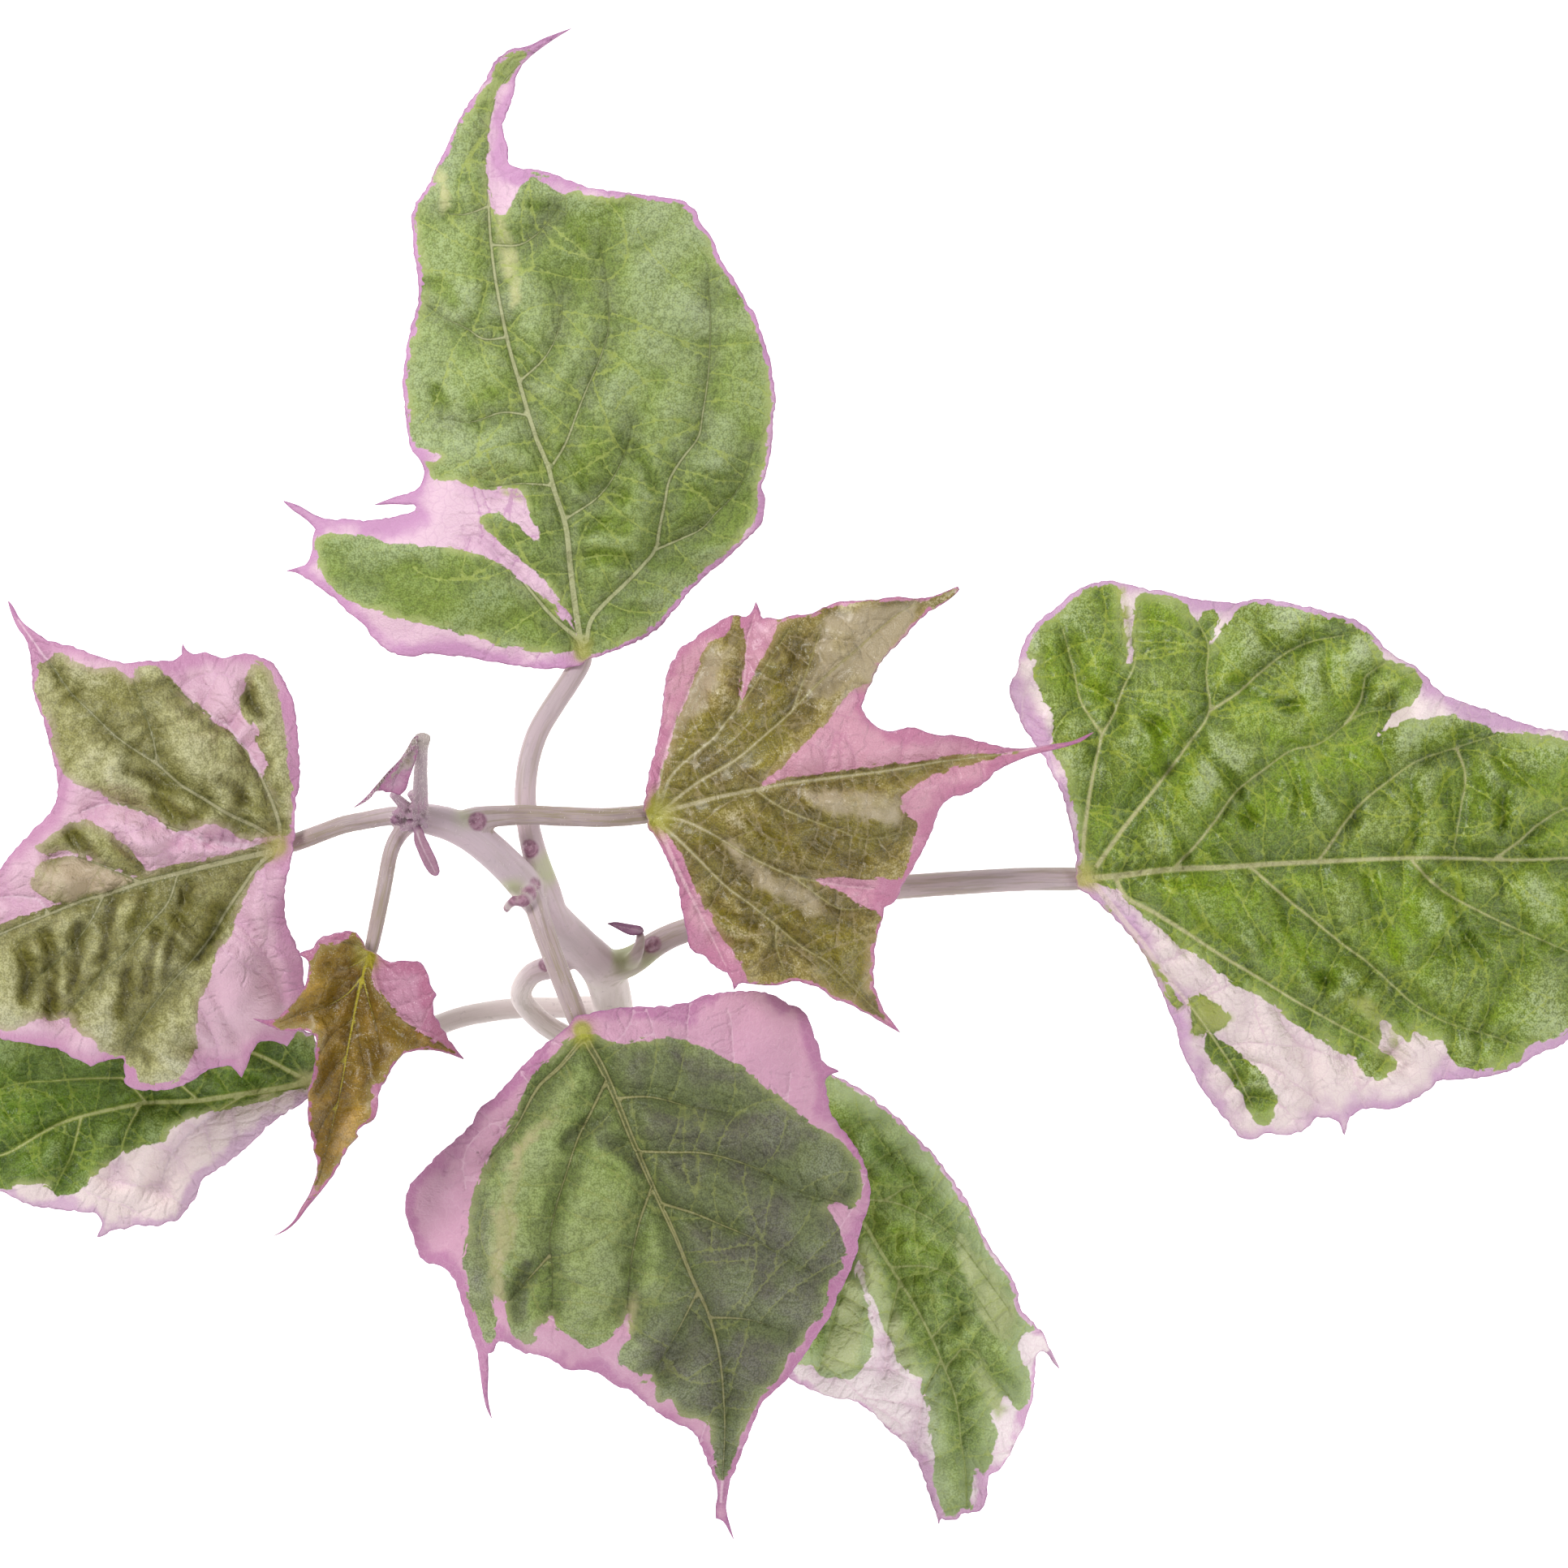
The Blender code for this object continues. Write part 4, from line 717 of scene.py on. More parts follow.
# The right leaf: the largest and oldest, a glossy deep-green heart that arches over and rests on its tip.
BLANK_STREAK = stroke("""
    1362,1115 1385,1140 1410,1170 1440,1210 1460,1240 1452,1245 1430,1215 1400,1175 1372,1135""")
SPARE_ISLAND = stroke("1465,1226 1484,1228 1508,1242 1517,1256 1508,1270 1484,1275 1470,1275 1468,1256")
RIGHT_LEAF = {
    "outline": stroke("""
      1324,1082 1325,1058 1321,1030 1314,1001 1305,973 1293,950 1281,926 1262,898 1248,869 1244,850
      1246,836 1253,827 1257,803 1265,784 1281,763 1300,749 1321,730 1343,719 1366,714 1385,717 1409,723
      1437,727 1470,736 1498,739 1527,741 1555,736 1583,740 1621,747 1645,754 1673,762 1692,775 1708,794
      1725,808 1748,820 1763,834 1777,850 1798,861 1833,872 1862,883 1900,895 1932,899 1985,905 2045,925
      2095,960 2135,1003 2190,1040 2128,1072 2070,1130 2020,1190 1975,1245 1932,1289 1900,1303 1871,1320
      1838,1329 1805,1333 1777,1334 1763,1348 1739,1362 1715,1370 1687,1369 1668,1379 1660,1403 1654,1388
      1642,1381 1626,1379 1612,1395 1588,1402 1564,1400 1546,1408 1529,1403 1517,1388 1498,1365 1477,1336
      1465,1313 1454,1289 1449,1266 1437,1237 1423,1204 1409,1176 1385,1145 1362,1122 1340,1103 1326,1093"""),
    "midrib": stroke("""
      1335,1083 1380,1079 1446,1071 1503,1069 1579,1064 1626,1062 1692,1059 1763,1057 1833,1059 1881,1060
      1932,1058 2040,1052 2165,1042"""),
    "veins": strokes("""
      1334,1068 1336,1030 1342,983 1350,940 1358,905 1345,886 1331,862 1325,832 1310,775 /
      1358,905 1373,879 1385,846 1399,817 1395,765 /
      1352,1067 1385,1020 1423,972 1465,916 1491,876 1487,832 1490,794 1477,765 /
      1491,876 1527,853 1550,832 1588,803 1621,789 1659,782 /
      1446,1070 1470,1046 1498,1011 1524,975 1560,947 1593,924 1626,917 1659,893 1682,879 1720,873 /
      1659,893 1678,865 1685,832 1711,815 /
      1626,1060 1640,1042 1654,1020 1682,987 1711,964 1744,940 1798,921 1848,905 /
      1798,921 1809,954 1803,997 1793,1056 / 1848,1057 1876,1037 1900,1016 1928,999 1980,980 /
      1376,1084 1386,1104 1418,1122 1456,1145 1503,1176 1550,1204 1588,1228 1621,1247 1659,1268 1692,1285
      1739,1317 /
      1347,1088 1385,1134 1409,1162 1428,1190 1451,1219 1475,1249 1498,1282 1522,1318 1546,1365 /
      1540,1067 1579,1101 1616,1131 1654,1162 1692,1190 1720,1216 1748,1240 1786,1261 1833,1275 1884,1292
      / 1744,1063 1777,1096 1810,1115 1848,1134 1895,1155 1932,1171 1990,1190 /
      2000,1055 2040,1075 2070,1105"""),
    "heights": stroke("""
      1330,1085,27 1380,900,28.5 1250,830,23 1366,716,19 1583,742,15 1500,950,28 1579,1064,24
      1763,1057,17.5 1932,1058,8.5 2190,1040,-1.2 1777,850,12 1932,901,6.5 2045,927,1.5 2130,1003,-0.8
      1932,1287,4.5 1763,1346,7.5 1564,1399,8 1660,1401,6.5 1477,1336,14 1409,1178,22.5 1690,1190,15.5
      2018,1190,0.2 2090,1080,-1.4 2060,1000,0.6"""),
    "net": 38, "rib": 0.5, "pucker": 1.3, "quilt": 0.8, "swell": 0.8, "crinkle": 0.2, "ruffle": 0.35,
    "rim": 0.5, "lie": (80, 1.6),
    "folds": strokes("""
      1480,920 1520,965 1540,1010 / 1590,920 1604,965 1600,1010 / 1400,870 1430,905 1440,950 /
      1345,850 1372,862 1380,900 / 1580,1100 1592,1145 1620,1190 / 1456,1090 1470,1130 1500,1165 /
      1690,1080 1700,1130 1720,1180 / 1620,1200 1655,1215 1690,1240 / 1520,840 1560,862 1600,870 /
      1660,930 1672,970 1668,1010 / 1740,960 1750,1000 1745,1040 / 1790,1090 1800,1140 1830,1180 /
      1430,1000 1450,1030 1455,1060 / 1850,930 1860,970 1855,1020"""),
    "ground": "pink",
    "patches": [
        ("green", stroke("""
        1330,1078 1328,1049 1326,1020 1321,992 1317,964 1307,940 1295,916 1298,898 1300,879 1286,867
        1281,850 1272,836 1276,815 1267,810 1264,796 1260,765 1290,735 1321,708 1345,700 1376,700
        1383,732 1388,775 1392,817 1396,780 1397,735 1418,730 1446,735 1465,744 1470,756 1477,765
        1484,751 1498,749 1503,761 1494,784 1493,794 1505,780 1529,749 1550,741 1626,747 1659,756
        1673,768 1697,780 1706,791 1708,810 1727,817 1744,822 1756,839 1751,855 1741,869 1727,876
        1701,905 1706,902 1725,891 1763,883 1796,877 1810,888 1838,893 1843,905 1867,901 1900,906
        1932,909 1990,916 2040,940 2090,970 2125,1010 2180,1040 2125,1065 2060,1125 2010,1185 1965,1238
        1932,1275 1895,1289 1884,1299 1876,1315 1848,1320 1805,1315 1786,1299 1782,1282 1763,1280
        1744,1270 1739,1285 1720,1275 1711,1261 1701,1261 1708,1275 1701,1292 1713,1299 1730,1311
        1720,1322 1701,1334 1685,1327 1675,1308 1664,1303 1645,1292 1626,1278 1598,1263 1569,1240
        1550,1226 1527,1216 1503,1200 1480,1181 1456,1167 1432,1148 1409,1129 1376,1098 1345,1088""")),
        ("green", stroke("""
        1487,1268 1503,1280 1531,1299 1560,1327 1576,1351 1576,1379 1564,1390 1550,1384 1531,1351
        1503,1318 1484,1294""")),
        ("green", SPARE_ISLAND),
        ("green", BLANK_STREAK)],
    "pale": [BLANK_STREAK, SPARE_ISLAND] + strokes("""
      1376,716 1390,720 1392,760 1394,812 1384,775 /
      1655,1225 1690,1228 1712,1255 1737,1280 1722,1292 1700,1262 1670,1245"""),
    "deep": strokes("""
      1345,1060 1360,960 1400,880 1450,850 1500,870 1470,940 1420,1000 /
      1460,1060 1540,960 1640,920 1720,900 1680,980 1620,1050 1540,1062 /
      1290,760 1370,730 1380,800 1340,850 1290,820 /
      1400,1100 1500,1085 1600,1130 1680,1200 1720,1250 1640,1240 1500,1170 /
      1660,1080 1760,1075 1880,1150 1932,1200 1840,1250 1740,1210 /
      1760,960 1840,940 1932,930 2040,960 2000,1040 1850,1050 1810,1040 /
      1420,740 1460,750 1480,820 1440,830 1410,790 / 1490,1275 1560,1330 1574,1378 1555,1382 1510,1320""")}

right_skin = leaf_tissue("glossy_green_leaf_tissue", dict(
    BASE_TINT, light="#7d8f32", dark="#546a18", deep="#577010", bright="#84a018", vivid=0.6,
    mottle="#688028", wax="#a5b282", wax_highlight_strength=0.7, speckle=0.28, pale="#a5aa5c", fringe="#9dab62",
    vein="#c2bd8c", vein_edge="#a5ab64", vein_side="#6a7648", net_vein="#a9b640", roughness=0.4, coat=0.25,
    pink="#cba0c2", cream="#ecdad8", cream_mm=2.8, blank_vein="#e0c8c6", pink_vein="#d6b6c4", net=0.6,
    mesh=0.26, heart="#b8b060", fringe_mm=2.0))
add_piece("right_leaf", grow_blade("right_leaf", RIGHT_LEAF, 23),
          right_skin, "variegated_leaf", "blade_right")

# The bottom leaf: grey-green and domed, its pink sides hang lower and its midrib is sunk deep.
BOTTOM_LEAF = {
    "outline": stroke("""
      713,1250 727,1247 750,1242 779,1239 816,1238 844,1234 867,1226 891,1222 923,1220 951,1224 970,1235
      989,1244 998,1256 1003,1275 1010,1289 1012,1303 1024,1314 1036,1320 1024,1324 1016,1331 1022,1354
      1024,1368 1036,1387 1050,1405 1064,1429 1071,1452 1074,1475 1066,1499 1060,1517 1057,1541 1045,1573
      1033,1597 1024,1620 1010,1643 998,1660 984,1681 968,1702 956,1713 942,1727 933,1744 923,1770
      914,1793 907,1812 900,1828 897,1842 895,1863 900,1886 905,1904 898,1891 891,1879 881,1875 881,1858
      884,1844 879,1826 872,1807 865,1788 853,1765 835,1756 816,1746 797,1732 779,1716 755,1706 737,1692
      718,1688 699,1688 681,1676 662,1669 643,1667 629,1657 618,1652 613,1655 608,1667 602,1667 602,1690
      601,1723 606,1751 599,1737 594,1713 591,1690 587,1667 580,1643 573,1620 566,1597 557,1573 541,1559
      524,1556 515,1545 508,1522 500,1499 498,1480 506,1457 522,1440 536,1424 550,1412 569,1396 585,1377
      590,1366 606,1354 625,1333 648,1307 667,1289 685,1275 699,1263 706,1254"""),
    "midrib": stroke("""
      718,1268 725,1284 741,1312 760,1354 779,1401 797,1443 816,1485 835,1527 853,1573 872,1615 886,1667
      891,1713 893,1760 891,1807 888,1854"""),
    "veins": strokes("""
      748,1330 727,1373 713,1401 699,1443 685,1489 678,1527 681,1555 681,1611 /
      678,1545 653,1573 629,1601 / 804,1460 790,1499 781,1536 776,1573 773,1611 /
      785,1417 825,1418 867,1419 914,1431 951,1447 984,1466 1031,1480 /
      819,1482 853,1492 891,1508 928,1524 961,1545 998,1564 / 874,1622 923,1625 970,1641 /
      860,1590 835,1639 807,1690 / 722,1276 711,1289 690,1314 665,1337 635,1390 600,1430 /
      760,1352 800,1350 850,1362 900,1370"""),
    "heights": stroke("""
      715,1262,43.8 800,1440,46.5 870,1610,39 892,1760,26 905,1904,11 680,1500,44 502,1490,30 590,1368,37
      652,1305,40.5 600,1655,31 606,1751,23 700,1686,33 797,1730,28.5 867,1228,34.5 985,1244,31
      1034,1320,31.5 1069,1460,35 1033,1597,31 956,1711,27.5 940,1420,44 930,1570,40 640,1600,39"""),
    "net": 46, "rib": 0.6, "pucker": 1.2, "quilt": 0.35, "swell": 0.35, "crinkle": 0.12, "ruffle": 0.35,
    "rim": 0.5,
    "folds": strokes("""
      745,1402 770,1412 792,1436 / 700,1405 722,1388 745,1380 / 650,1560 640,1590 640,1620 /
      835,1440 870,1456 900,1476"""),
    "ground": "pink",
    "patches": [
        ("green", stroke("""
        709,1275 685,1293 667,1312 653,1335 639,1359 625,1387 606,1419 590,1452 580,1489 575,1527
        573,1559 578,1597 587,1630 599,1657 606,1660 611,1639 610,1611 607,1583 622,1606 625,1620
        634,1643 648,1657 660,1650 664,1634 681,1622 685,1636 709,1648 723,1660 741,1657 755,1643
        769,1625 779,1611 776,1643 765,1657 764,1676 779,1692 802,1695 783,1706 807,1704 811,1727
        825,1725 839,1744 863,1750 874,1755 877,1779 884,1821 891,1826 900,1816 909,1788 919,1760
        928,1737 947,1713 965,1690 975,1667 991,1655 994,1639 1012,1620 1021,1597 1024,1578 1035,1569
        1038,1557 1033,1548 1044,1545 1042,1531 1031,1503 1017,1485 1031,1480 1047,1489 1059,1480
        1063,1466 1059,1433 1045,1415 1026,1396 998,1382 975,1363 947,1340 919,1317 886,1298 853,1284
        821,1278 788,1279 760,1286 741,1277 723,1272"""))],
    "pale": strokes("""
      685,1363 667,1377 643,1401 629,1433 620,1461 606,1499 604,1536 607,1583 615,1600 622,1606 625,1555
      634,1527 641,1499 634,1480 643,1452 648,1419 667,1396 685,1377 /
      772,1608 782,1590 784,1612 776,1640"""),
    "deep": strokes("""
      750,1290 850,1280 950,1335 1065,1430 1065,1500 1055,1570 1000,1660 940,1740 890,1810 830,1760
      775,1690 785,1620 850,1580 830,1500 790,1410 /
      590,1460 604,1500 600,1600 598,1650 578,1590 580,1510""")}

bottom_skin = leaf_tissue("grey_green_leaf_tissue", dict(
    BASE_TINT, light="#8b9958", dark="#66743a", deep="#575349", deep_share=0.92, bright="#7f9838",
    vivid=0.25, mottle="#687348", wax="#949b80", wax_highlight_strength=0.25, pale="#ada677", fringe="#8f9462",
    vein="#989362", vein_edge="#464e1c", core=-0.08, trunk=0.8, vein_side="#4d5826", side=0.5,
    net_vein="#8e9450", sheen=0.12, sheen_tint="#cdb8d8", pink="#b87aa0", cream="#cd9bb3", cream_mm=1.8,
    blank_vein="#dcb8c8", pink_vein="#e0bccc", net=0.55, mesh=0.12, roughness=0.5, heart="#a8a838"))
add_piece("bottom_leaf", grow_blade("bottom_leaf", BOTTOM_LEAF, 37),
          bottom_skin, "variegated_leaf", "blade_bottom")

# The left leaf: five-lobed, olive with wide pink bays, and strongly puckered across its midrib.
TAN_BAY = stroke("""
    45,1067 70,1055 98,1055 131,1067 160,1077 172,1085 139,1098 102,1108 74,1114 45,1104 41,1087""")
LEFT_LEAF = {
    "outline": stroke("""
      366,1034 366,1014 368,985 372,961 371,932 369,900 366,875 360,855 349,834 339,818 323,809 306,805
      290,806 274,811 258,803 241,806 231,801 226,792 224,804 217,814 200,814 180,814 160,817 135,812
      115,806 98,798 78,793 58,787 39,775 25,763 15,746 8,738 13,755 21,773 31,787 36,802 38,822 40,846
      47,871 55,891 60,912 66,936 71,957 71,977 64,998 45,1018 25,1038 11,1055 0,1069 -50,1108 -100,1150
      -150,1195 -95,1208 -40,1260 0,1281 21,1285 45,1289 70,1293 86,1302 102,1310 113,1315 123,1310
      151,1303 153,1320 151,1332 160,1341 176,1344 200,1344 225,1338 245,1328 262,1317 278,1314 290,1318
      298,1329 304,1316 309,1304 319,1287 331,1283 343,1285 355,1291 362,1279 368,1269 378,1235 376,1206
      374,1181 368,1165 362,1153 355,1132 353,1112 355,1087 360,1067 363,1051"""),
    "midrib": stroke("""
      345,1042 339,1046 282,1061 241,1071 209,1079 176,1087 139,1100 102,1110 62,1126 21,1142 0,1151
      -60,1170 -120,1188"""),
    "veins": strokes("""
      345,1040 327,1024 282,1002 258,987 225,967 196,942 168,924 143,906 115,879 90,855 70,828 53,806
      22,764 / 196,942 192,916 182,883 172,855 166,838 /
      345,1040 347,1022 339,993 327,965 315,940 298,916 282,895 245,871 210,840 /
      340,1043 266,1038 225,1024 200,1014 184,1002 160,993 131,991 102,1000 /
      176,1087 151,1075 119,1063 86,1053 62,1057 / 61,1125 49,1108 21,1104 0,1106 /
      221,1077 209,1112 184,1140 160,1169 123,1202 102,1226 82,1251 /
      345,1045 319,1067 302,1091 282,1120 262,1153 233,1189 209,1214 184,1246 164,1275 155,1295 /
      130,1102 110,1140 80,1175 40,1210"""),
    "heights": stroke("""
      362,1040,43.7 209,1079,42 62,1126,36 -70,1165,28 -150,1195,21 225,967,44 115,879,39 8,738,27
      226,792,36 330,812,37 371,930,40 40,846,33 71,977,35.5 0,1069,31 221,1200,40 123,1310,30
      200,1342,30 298,1327,32 355,1289,33 378,1200,37 356,1110,41 0,1281,26"""),
    "net": 36, "rib": 0.5, "pucker": 1.2, "quilt": 0.9, "swell": 0.9, "crinkle": 0.2, "ruffle": 0.35,
    "rim": 0.4, "lie": (75, 2.0),
    "folds": strokes("""
      58,1150 63,1185 64,1215 62,1250 / 140,1108 134,1140 129,1180 / 181,1102 176,1122 166,1142 /
      234,1092 224,1125 214,1160 204,1200 / 158,1198 156,1222 150,1246 / 84,1022 98,1036 112,1054 /
      152,1036 166,1052 180,1070 / 196,985 220,1002 246,1010 / 160,950 190,960 214,970 /
      276,962 292,968 300,984 / 304,850 312,868 322,880 / 262,1030 286,1026 306,1016 /
      30,1170 34,1200 30,1232 / 98,1140 96,1180 90,1216 / 272,1120 262,1150 246,1180 /
      196,1150 186,1190 180,1220"""),
    "ground": "pink",
    "patches": [
        ("green", stroke("""
        47,822 66,806 86,806 92,816 115,822 135,823 155,828 164,838 172,818 184,816 202,826 221,846
        241,867 266,887 290,906 306,924 319,949 335,973 347,1006 349,1026 335,1030 306,1034 282,1022
        266,1014 241,1020 221,1026 204,1018 192,1006 176,998 151,991 131,985 115,973 94,965 78,955 70,944
        64,924 60,895 53,875 45,855""")),
        ("green", stroke("""
        311,816 327,816 337,830 343,846 349,867 353,904 355,940 362,973 364,1006 360,1030 350,1030
        343,1006 335,981 327,961 329,940 319,920 319,895 302,883 296,863 302,846""")),
        ("green", stroke("""
        45,1042 62,1030 86,1016 106,1010 123,1018 143,1030 155,1042 172,1059 184,1075 176,1079 155,1075
        131,1067 86,1050 60,1055""")),
        ("green", stroke("""
        345,1034 282,1051 241,1061 176,1077 139,1090 102,1100 62,1116 21,1132 0,1141 -60,1161 -120,1182
        -100,1205 -60,1235 -20,1262 0,1269 21,1267 41,1255 62,1257 78,1251 86,1255 90,1271 119,1283
        123,1295 160,1312 172,1332 196,1336 217,1332 237,1308 243,1291 243,1259 247,1234 258,1210
        266,1185 286,1149 302,1112 319,1075 340,1055""")),
        ("green", TAN_BAY)],
    "pale": [TAN_BAY],
    "deep": strokes("222,1100 238,1092 262,1100 240,1150 215,1200 205,1190 214,1140")}

left_skin = leaf_tissue("olive_leaf_tissue", dict(
    BASE_TINT, light="#adaa74", dark="#7b7744", deep="#484217", deep_share=0.85, bright="#85822e",
    mottle="#7c7640", wax="#b6b392", wax_highlight_strength=0.5, pale="#bba78e", fringe="#b0a284", vein="#a9a47e",
    vein_edge="#66683a", vein_side="#6c6a3e", net_vein="#857f48", pink="#c58bae", cream="#dcb4c5",
    cream_mm=3.0, blank_vein="#e0bece", pink_vein="#cd9aba", net=0.4, mesh=0.14, roughness=0.42, coat=0.1,
    heart="#b3a868"))
add_piece("left_leaf", grow_blade("left_leaf", LEFT_LEAF, 41),
          left_skin, "variegated_leaf", "blade_left")

# The middle leaf: a young five-lobed blade, thin and glossy, olive brown where it will be green later on.
MID_LEAF = {
    "outline": stroke("""
      792,998 796,973 800,949 807,925 812,902 816,875 818,850 823,826 835,803 841,795 850,791 865,779
      879,771 894,761 906,758 920,760 928,751 931,741 935,749 940,760 958,762 977,758 1001,755 1017,747
      1037,741 1060,740 1084,738 1104,735 1128,737 1151,734 1167,728 1181,722 1182,728 1171,738 1155,749
      1140,759 1126,773 1112,789 1096,805 1084,819 1076,838 1066,858 1062,874 1072,888 1084,898 1100,900
      1120,895 1136,900 1147,904 1183,906 1199,911 1225,917 1250,922 1270,921 1294,917 1321,913 1337,906
      1349,901 1333,913 1314,920 1290,926 1270,931 1250,939 1230,949 1215,963 1199,975 1185,981 1173,981
      1161,993 1155,1004 1147,1028 1136,1050 1126,1068 1118,1082 1110,1095 1106,1107 1100,1113 1090,1117
      1089,1127 1084,1143 1079,1163 1078,1186 1077,1206 1082,1226 1090,1246 1100,1259 1110,1273 1092,1263
      1076,1254 1064,1248 1049,1238 1029,1232 1009,1218 993,1212 973,1210 954,1215 934,1214 918,1211
      912,1212 904,1220 902,1210 896,1200 879,1190 865,1176 853,1174 848,1161 844,1139 839,1119 836,1095
      829,1076 817,1050 807,1032 799,1022 796,1004"""),
    "midrib": stroke("""
      803,1005 851,991 890,981 930,973 973,965 1037,957 1096,949 1155,939 1203,933 1250,927 1335,906"""),
    "veins": strokes("""
      811,1003 859,965 906,937 938,910 970,882 993,858 1021,830 1053,803 1084,775 1116,751 1160,734 /
      975,878 987,846 997,819 1005,795 1013,771 /
      815,990 827,957 851,933 879,910 898,886 918,862 934,838 950,811 973,777 /
      807,1000 819,937 831,898 847,858 863,819 / 910,870 918,830 920,795 930,758 /
      806,1006 839,1010 879,1028 918,1052 950,1068 981,1080 1037,1091 1076,1095 /
      975,1078 997,1095 1013,1107 1033,1119 1076,1118 /
      806,1010 828,1027 859,1056 894,1091 926,1115 958,1141 989,1167 1021,1186 1045,1210 1068,1234
      1094,1258 / 957,1141 956,1163 966,1194 / 930,973 966,997 997,1010 1037,1024 1068,1034 1130,1020 /
      812,1018 840,1080 870,1140 895,1190"""),
    "heights": stroke("""
      800,1003,45.9 930,973,47.5 1096,949,44 1250,927,39 1349,901,35.5 938,910,46.5 1053,803,42.5
      1181,722,38 840,795,41 931,741,40 812,902,43 950,1068,45 1076,1095,40.5 1021,1186,40.5 1110,1273,33
      904,1218,39.5 842,1125,42 1161,993,40 1064,876,42.5"""),
    "net": 36, "rib": 0.42, "pucker": 0.9, "quilt": 0.6, "swell": 0.3, "crinkle": 0.15, "ruffle": 0.3,
    "rim": 0.3,
    "folds": strokes("""
      880,1040 905,1070 925,1082 / 925,1010 950,1036 975,1050 / 1000,1040 1030,1055 1060,1062 /
      868,1110 900,1130 930,1138 / 970,1110 1000,1135 1040,1150 / 950,850 975,825 985,795 /
      1020,850 1045,826 1070,806 / 880,1156 900,1164 925,1166"""),
    "patches": [
        ("pink", stroke("""
        782,1000 790,949 802,902 808,850 825,798 865,769 894,751 908,755 900,775 885,785 868,800 862,820
        850,850 838,880 826,915 815,950 806,985 800,998""")),
        ("pink", stroke("912,760 931,730 965,752 950,790 935,820 922,850 912,870 914,830 918,795")),
        ("pink", stroke("""
        930,972 960,948 990,920 1010,900 1030,875 1045,855 1070,840 1085,860 1090,890 1147,895 1199,902
        1250,912 1294,907 1359,895 1314,922 1250,927 1227,928 1187,932 1155,937 1100,945 1037,953 980,961""")),
        ("pink", stroke("""
        1359,901 1260,949 1225,973 1195,991 1171,1003 1157,1038 1146,1060 1128,1092 1116,1117 1085,1127
        1098,1095 1108,1085 1118,1060 1128,1030 1130,1010 1112,1000 1108,985 1130,965 1160,952 1200,940
        1227,933""")),
        ("green", stroke("""
        940,962 1000,955 1060,945 1120,938 1180,930 1227,927 1227,935 1187,941 1151,953 1132,961 1108,973
        1084,971 1060,969 1037,963 990,970""")),
        ("pink", stroke("""
        1125,1090 1080,1083 1040,1082 997,1082 1020,1092 1045,1105 1062,1117 1085,1122 1110,1115""")),
        ("pink", stroke("""
        796,1008 835,1045 855,1087 867,1115 879,1135 890,1155 906,1174 914,1190 924,1212 904,1232
        886,1205 855,1184 838,1167 826,1095 807,1050 789,1022"""))],
    # Of these pale patches, the one on the upper right lobe is painted glare and the one below the midrib a
    # painted glint, not pale tissue.
    "pale": strokes("""
      977,973 1040,972 1108,978 1112,998 1108,1016 1060,1010 1010,1000 /
      838,878 852,845 872,812 905,782 900,812 880,850 858,885 840,905 /
      1008,762 1060,748 1130,742 1121,780 1100,816 1077,851 1041,854 1000,869 988,834 1008,792 /
      880,1020 905,1035 935,1065 975,1085 1010,1105 1020,1120 1000,1130 960,1110 925,1080 895,1050"""),
    "deep": strokes("""
      840,940 900,880 950,810 1000,760 960,860 900,930 850,960 /
      860,1040 940,1070 1040,1100 1075,1140 1070,1220 1000,1170 920,1110 /
      940,985 1010,1020 1110,1030 1100,1070 1000,1070 920,1040""")}

mid_skin = leaf_tissue("bronze_young_leaf_tissue", dict(
    BASE_TINT, light="#9a883e", dark="#6c5c24", deep="#544812", deep_share=0.8, bright="#8c801a",
    vivid=0.6, mottle="#7c6a30", wax="#c4baa2", wax_highlight_strength=0.5, pale="#b2a284", fringe="#a08a58", vein="#b9ae88",
    vein_edge="#93884e", vein_side="#6c663a", net_vein="#b3a07c", roughness=0.34, coat=0.35,
    pink="#c27d9b", cream="#d59cae", cream_mm=2.0, blank_vein="#deb0bd", pink_vein="#bb7896", net=0.4,
    mesh=0.1, heart="#b3b050", heart_mm=4.5))
add_piece("middle_leaf", grow_blade("middle_leaf", MID_LEAF, 53),
          mid_skin, "young_leaf", "blade_mid")

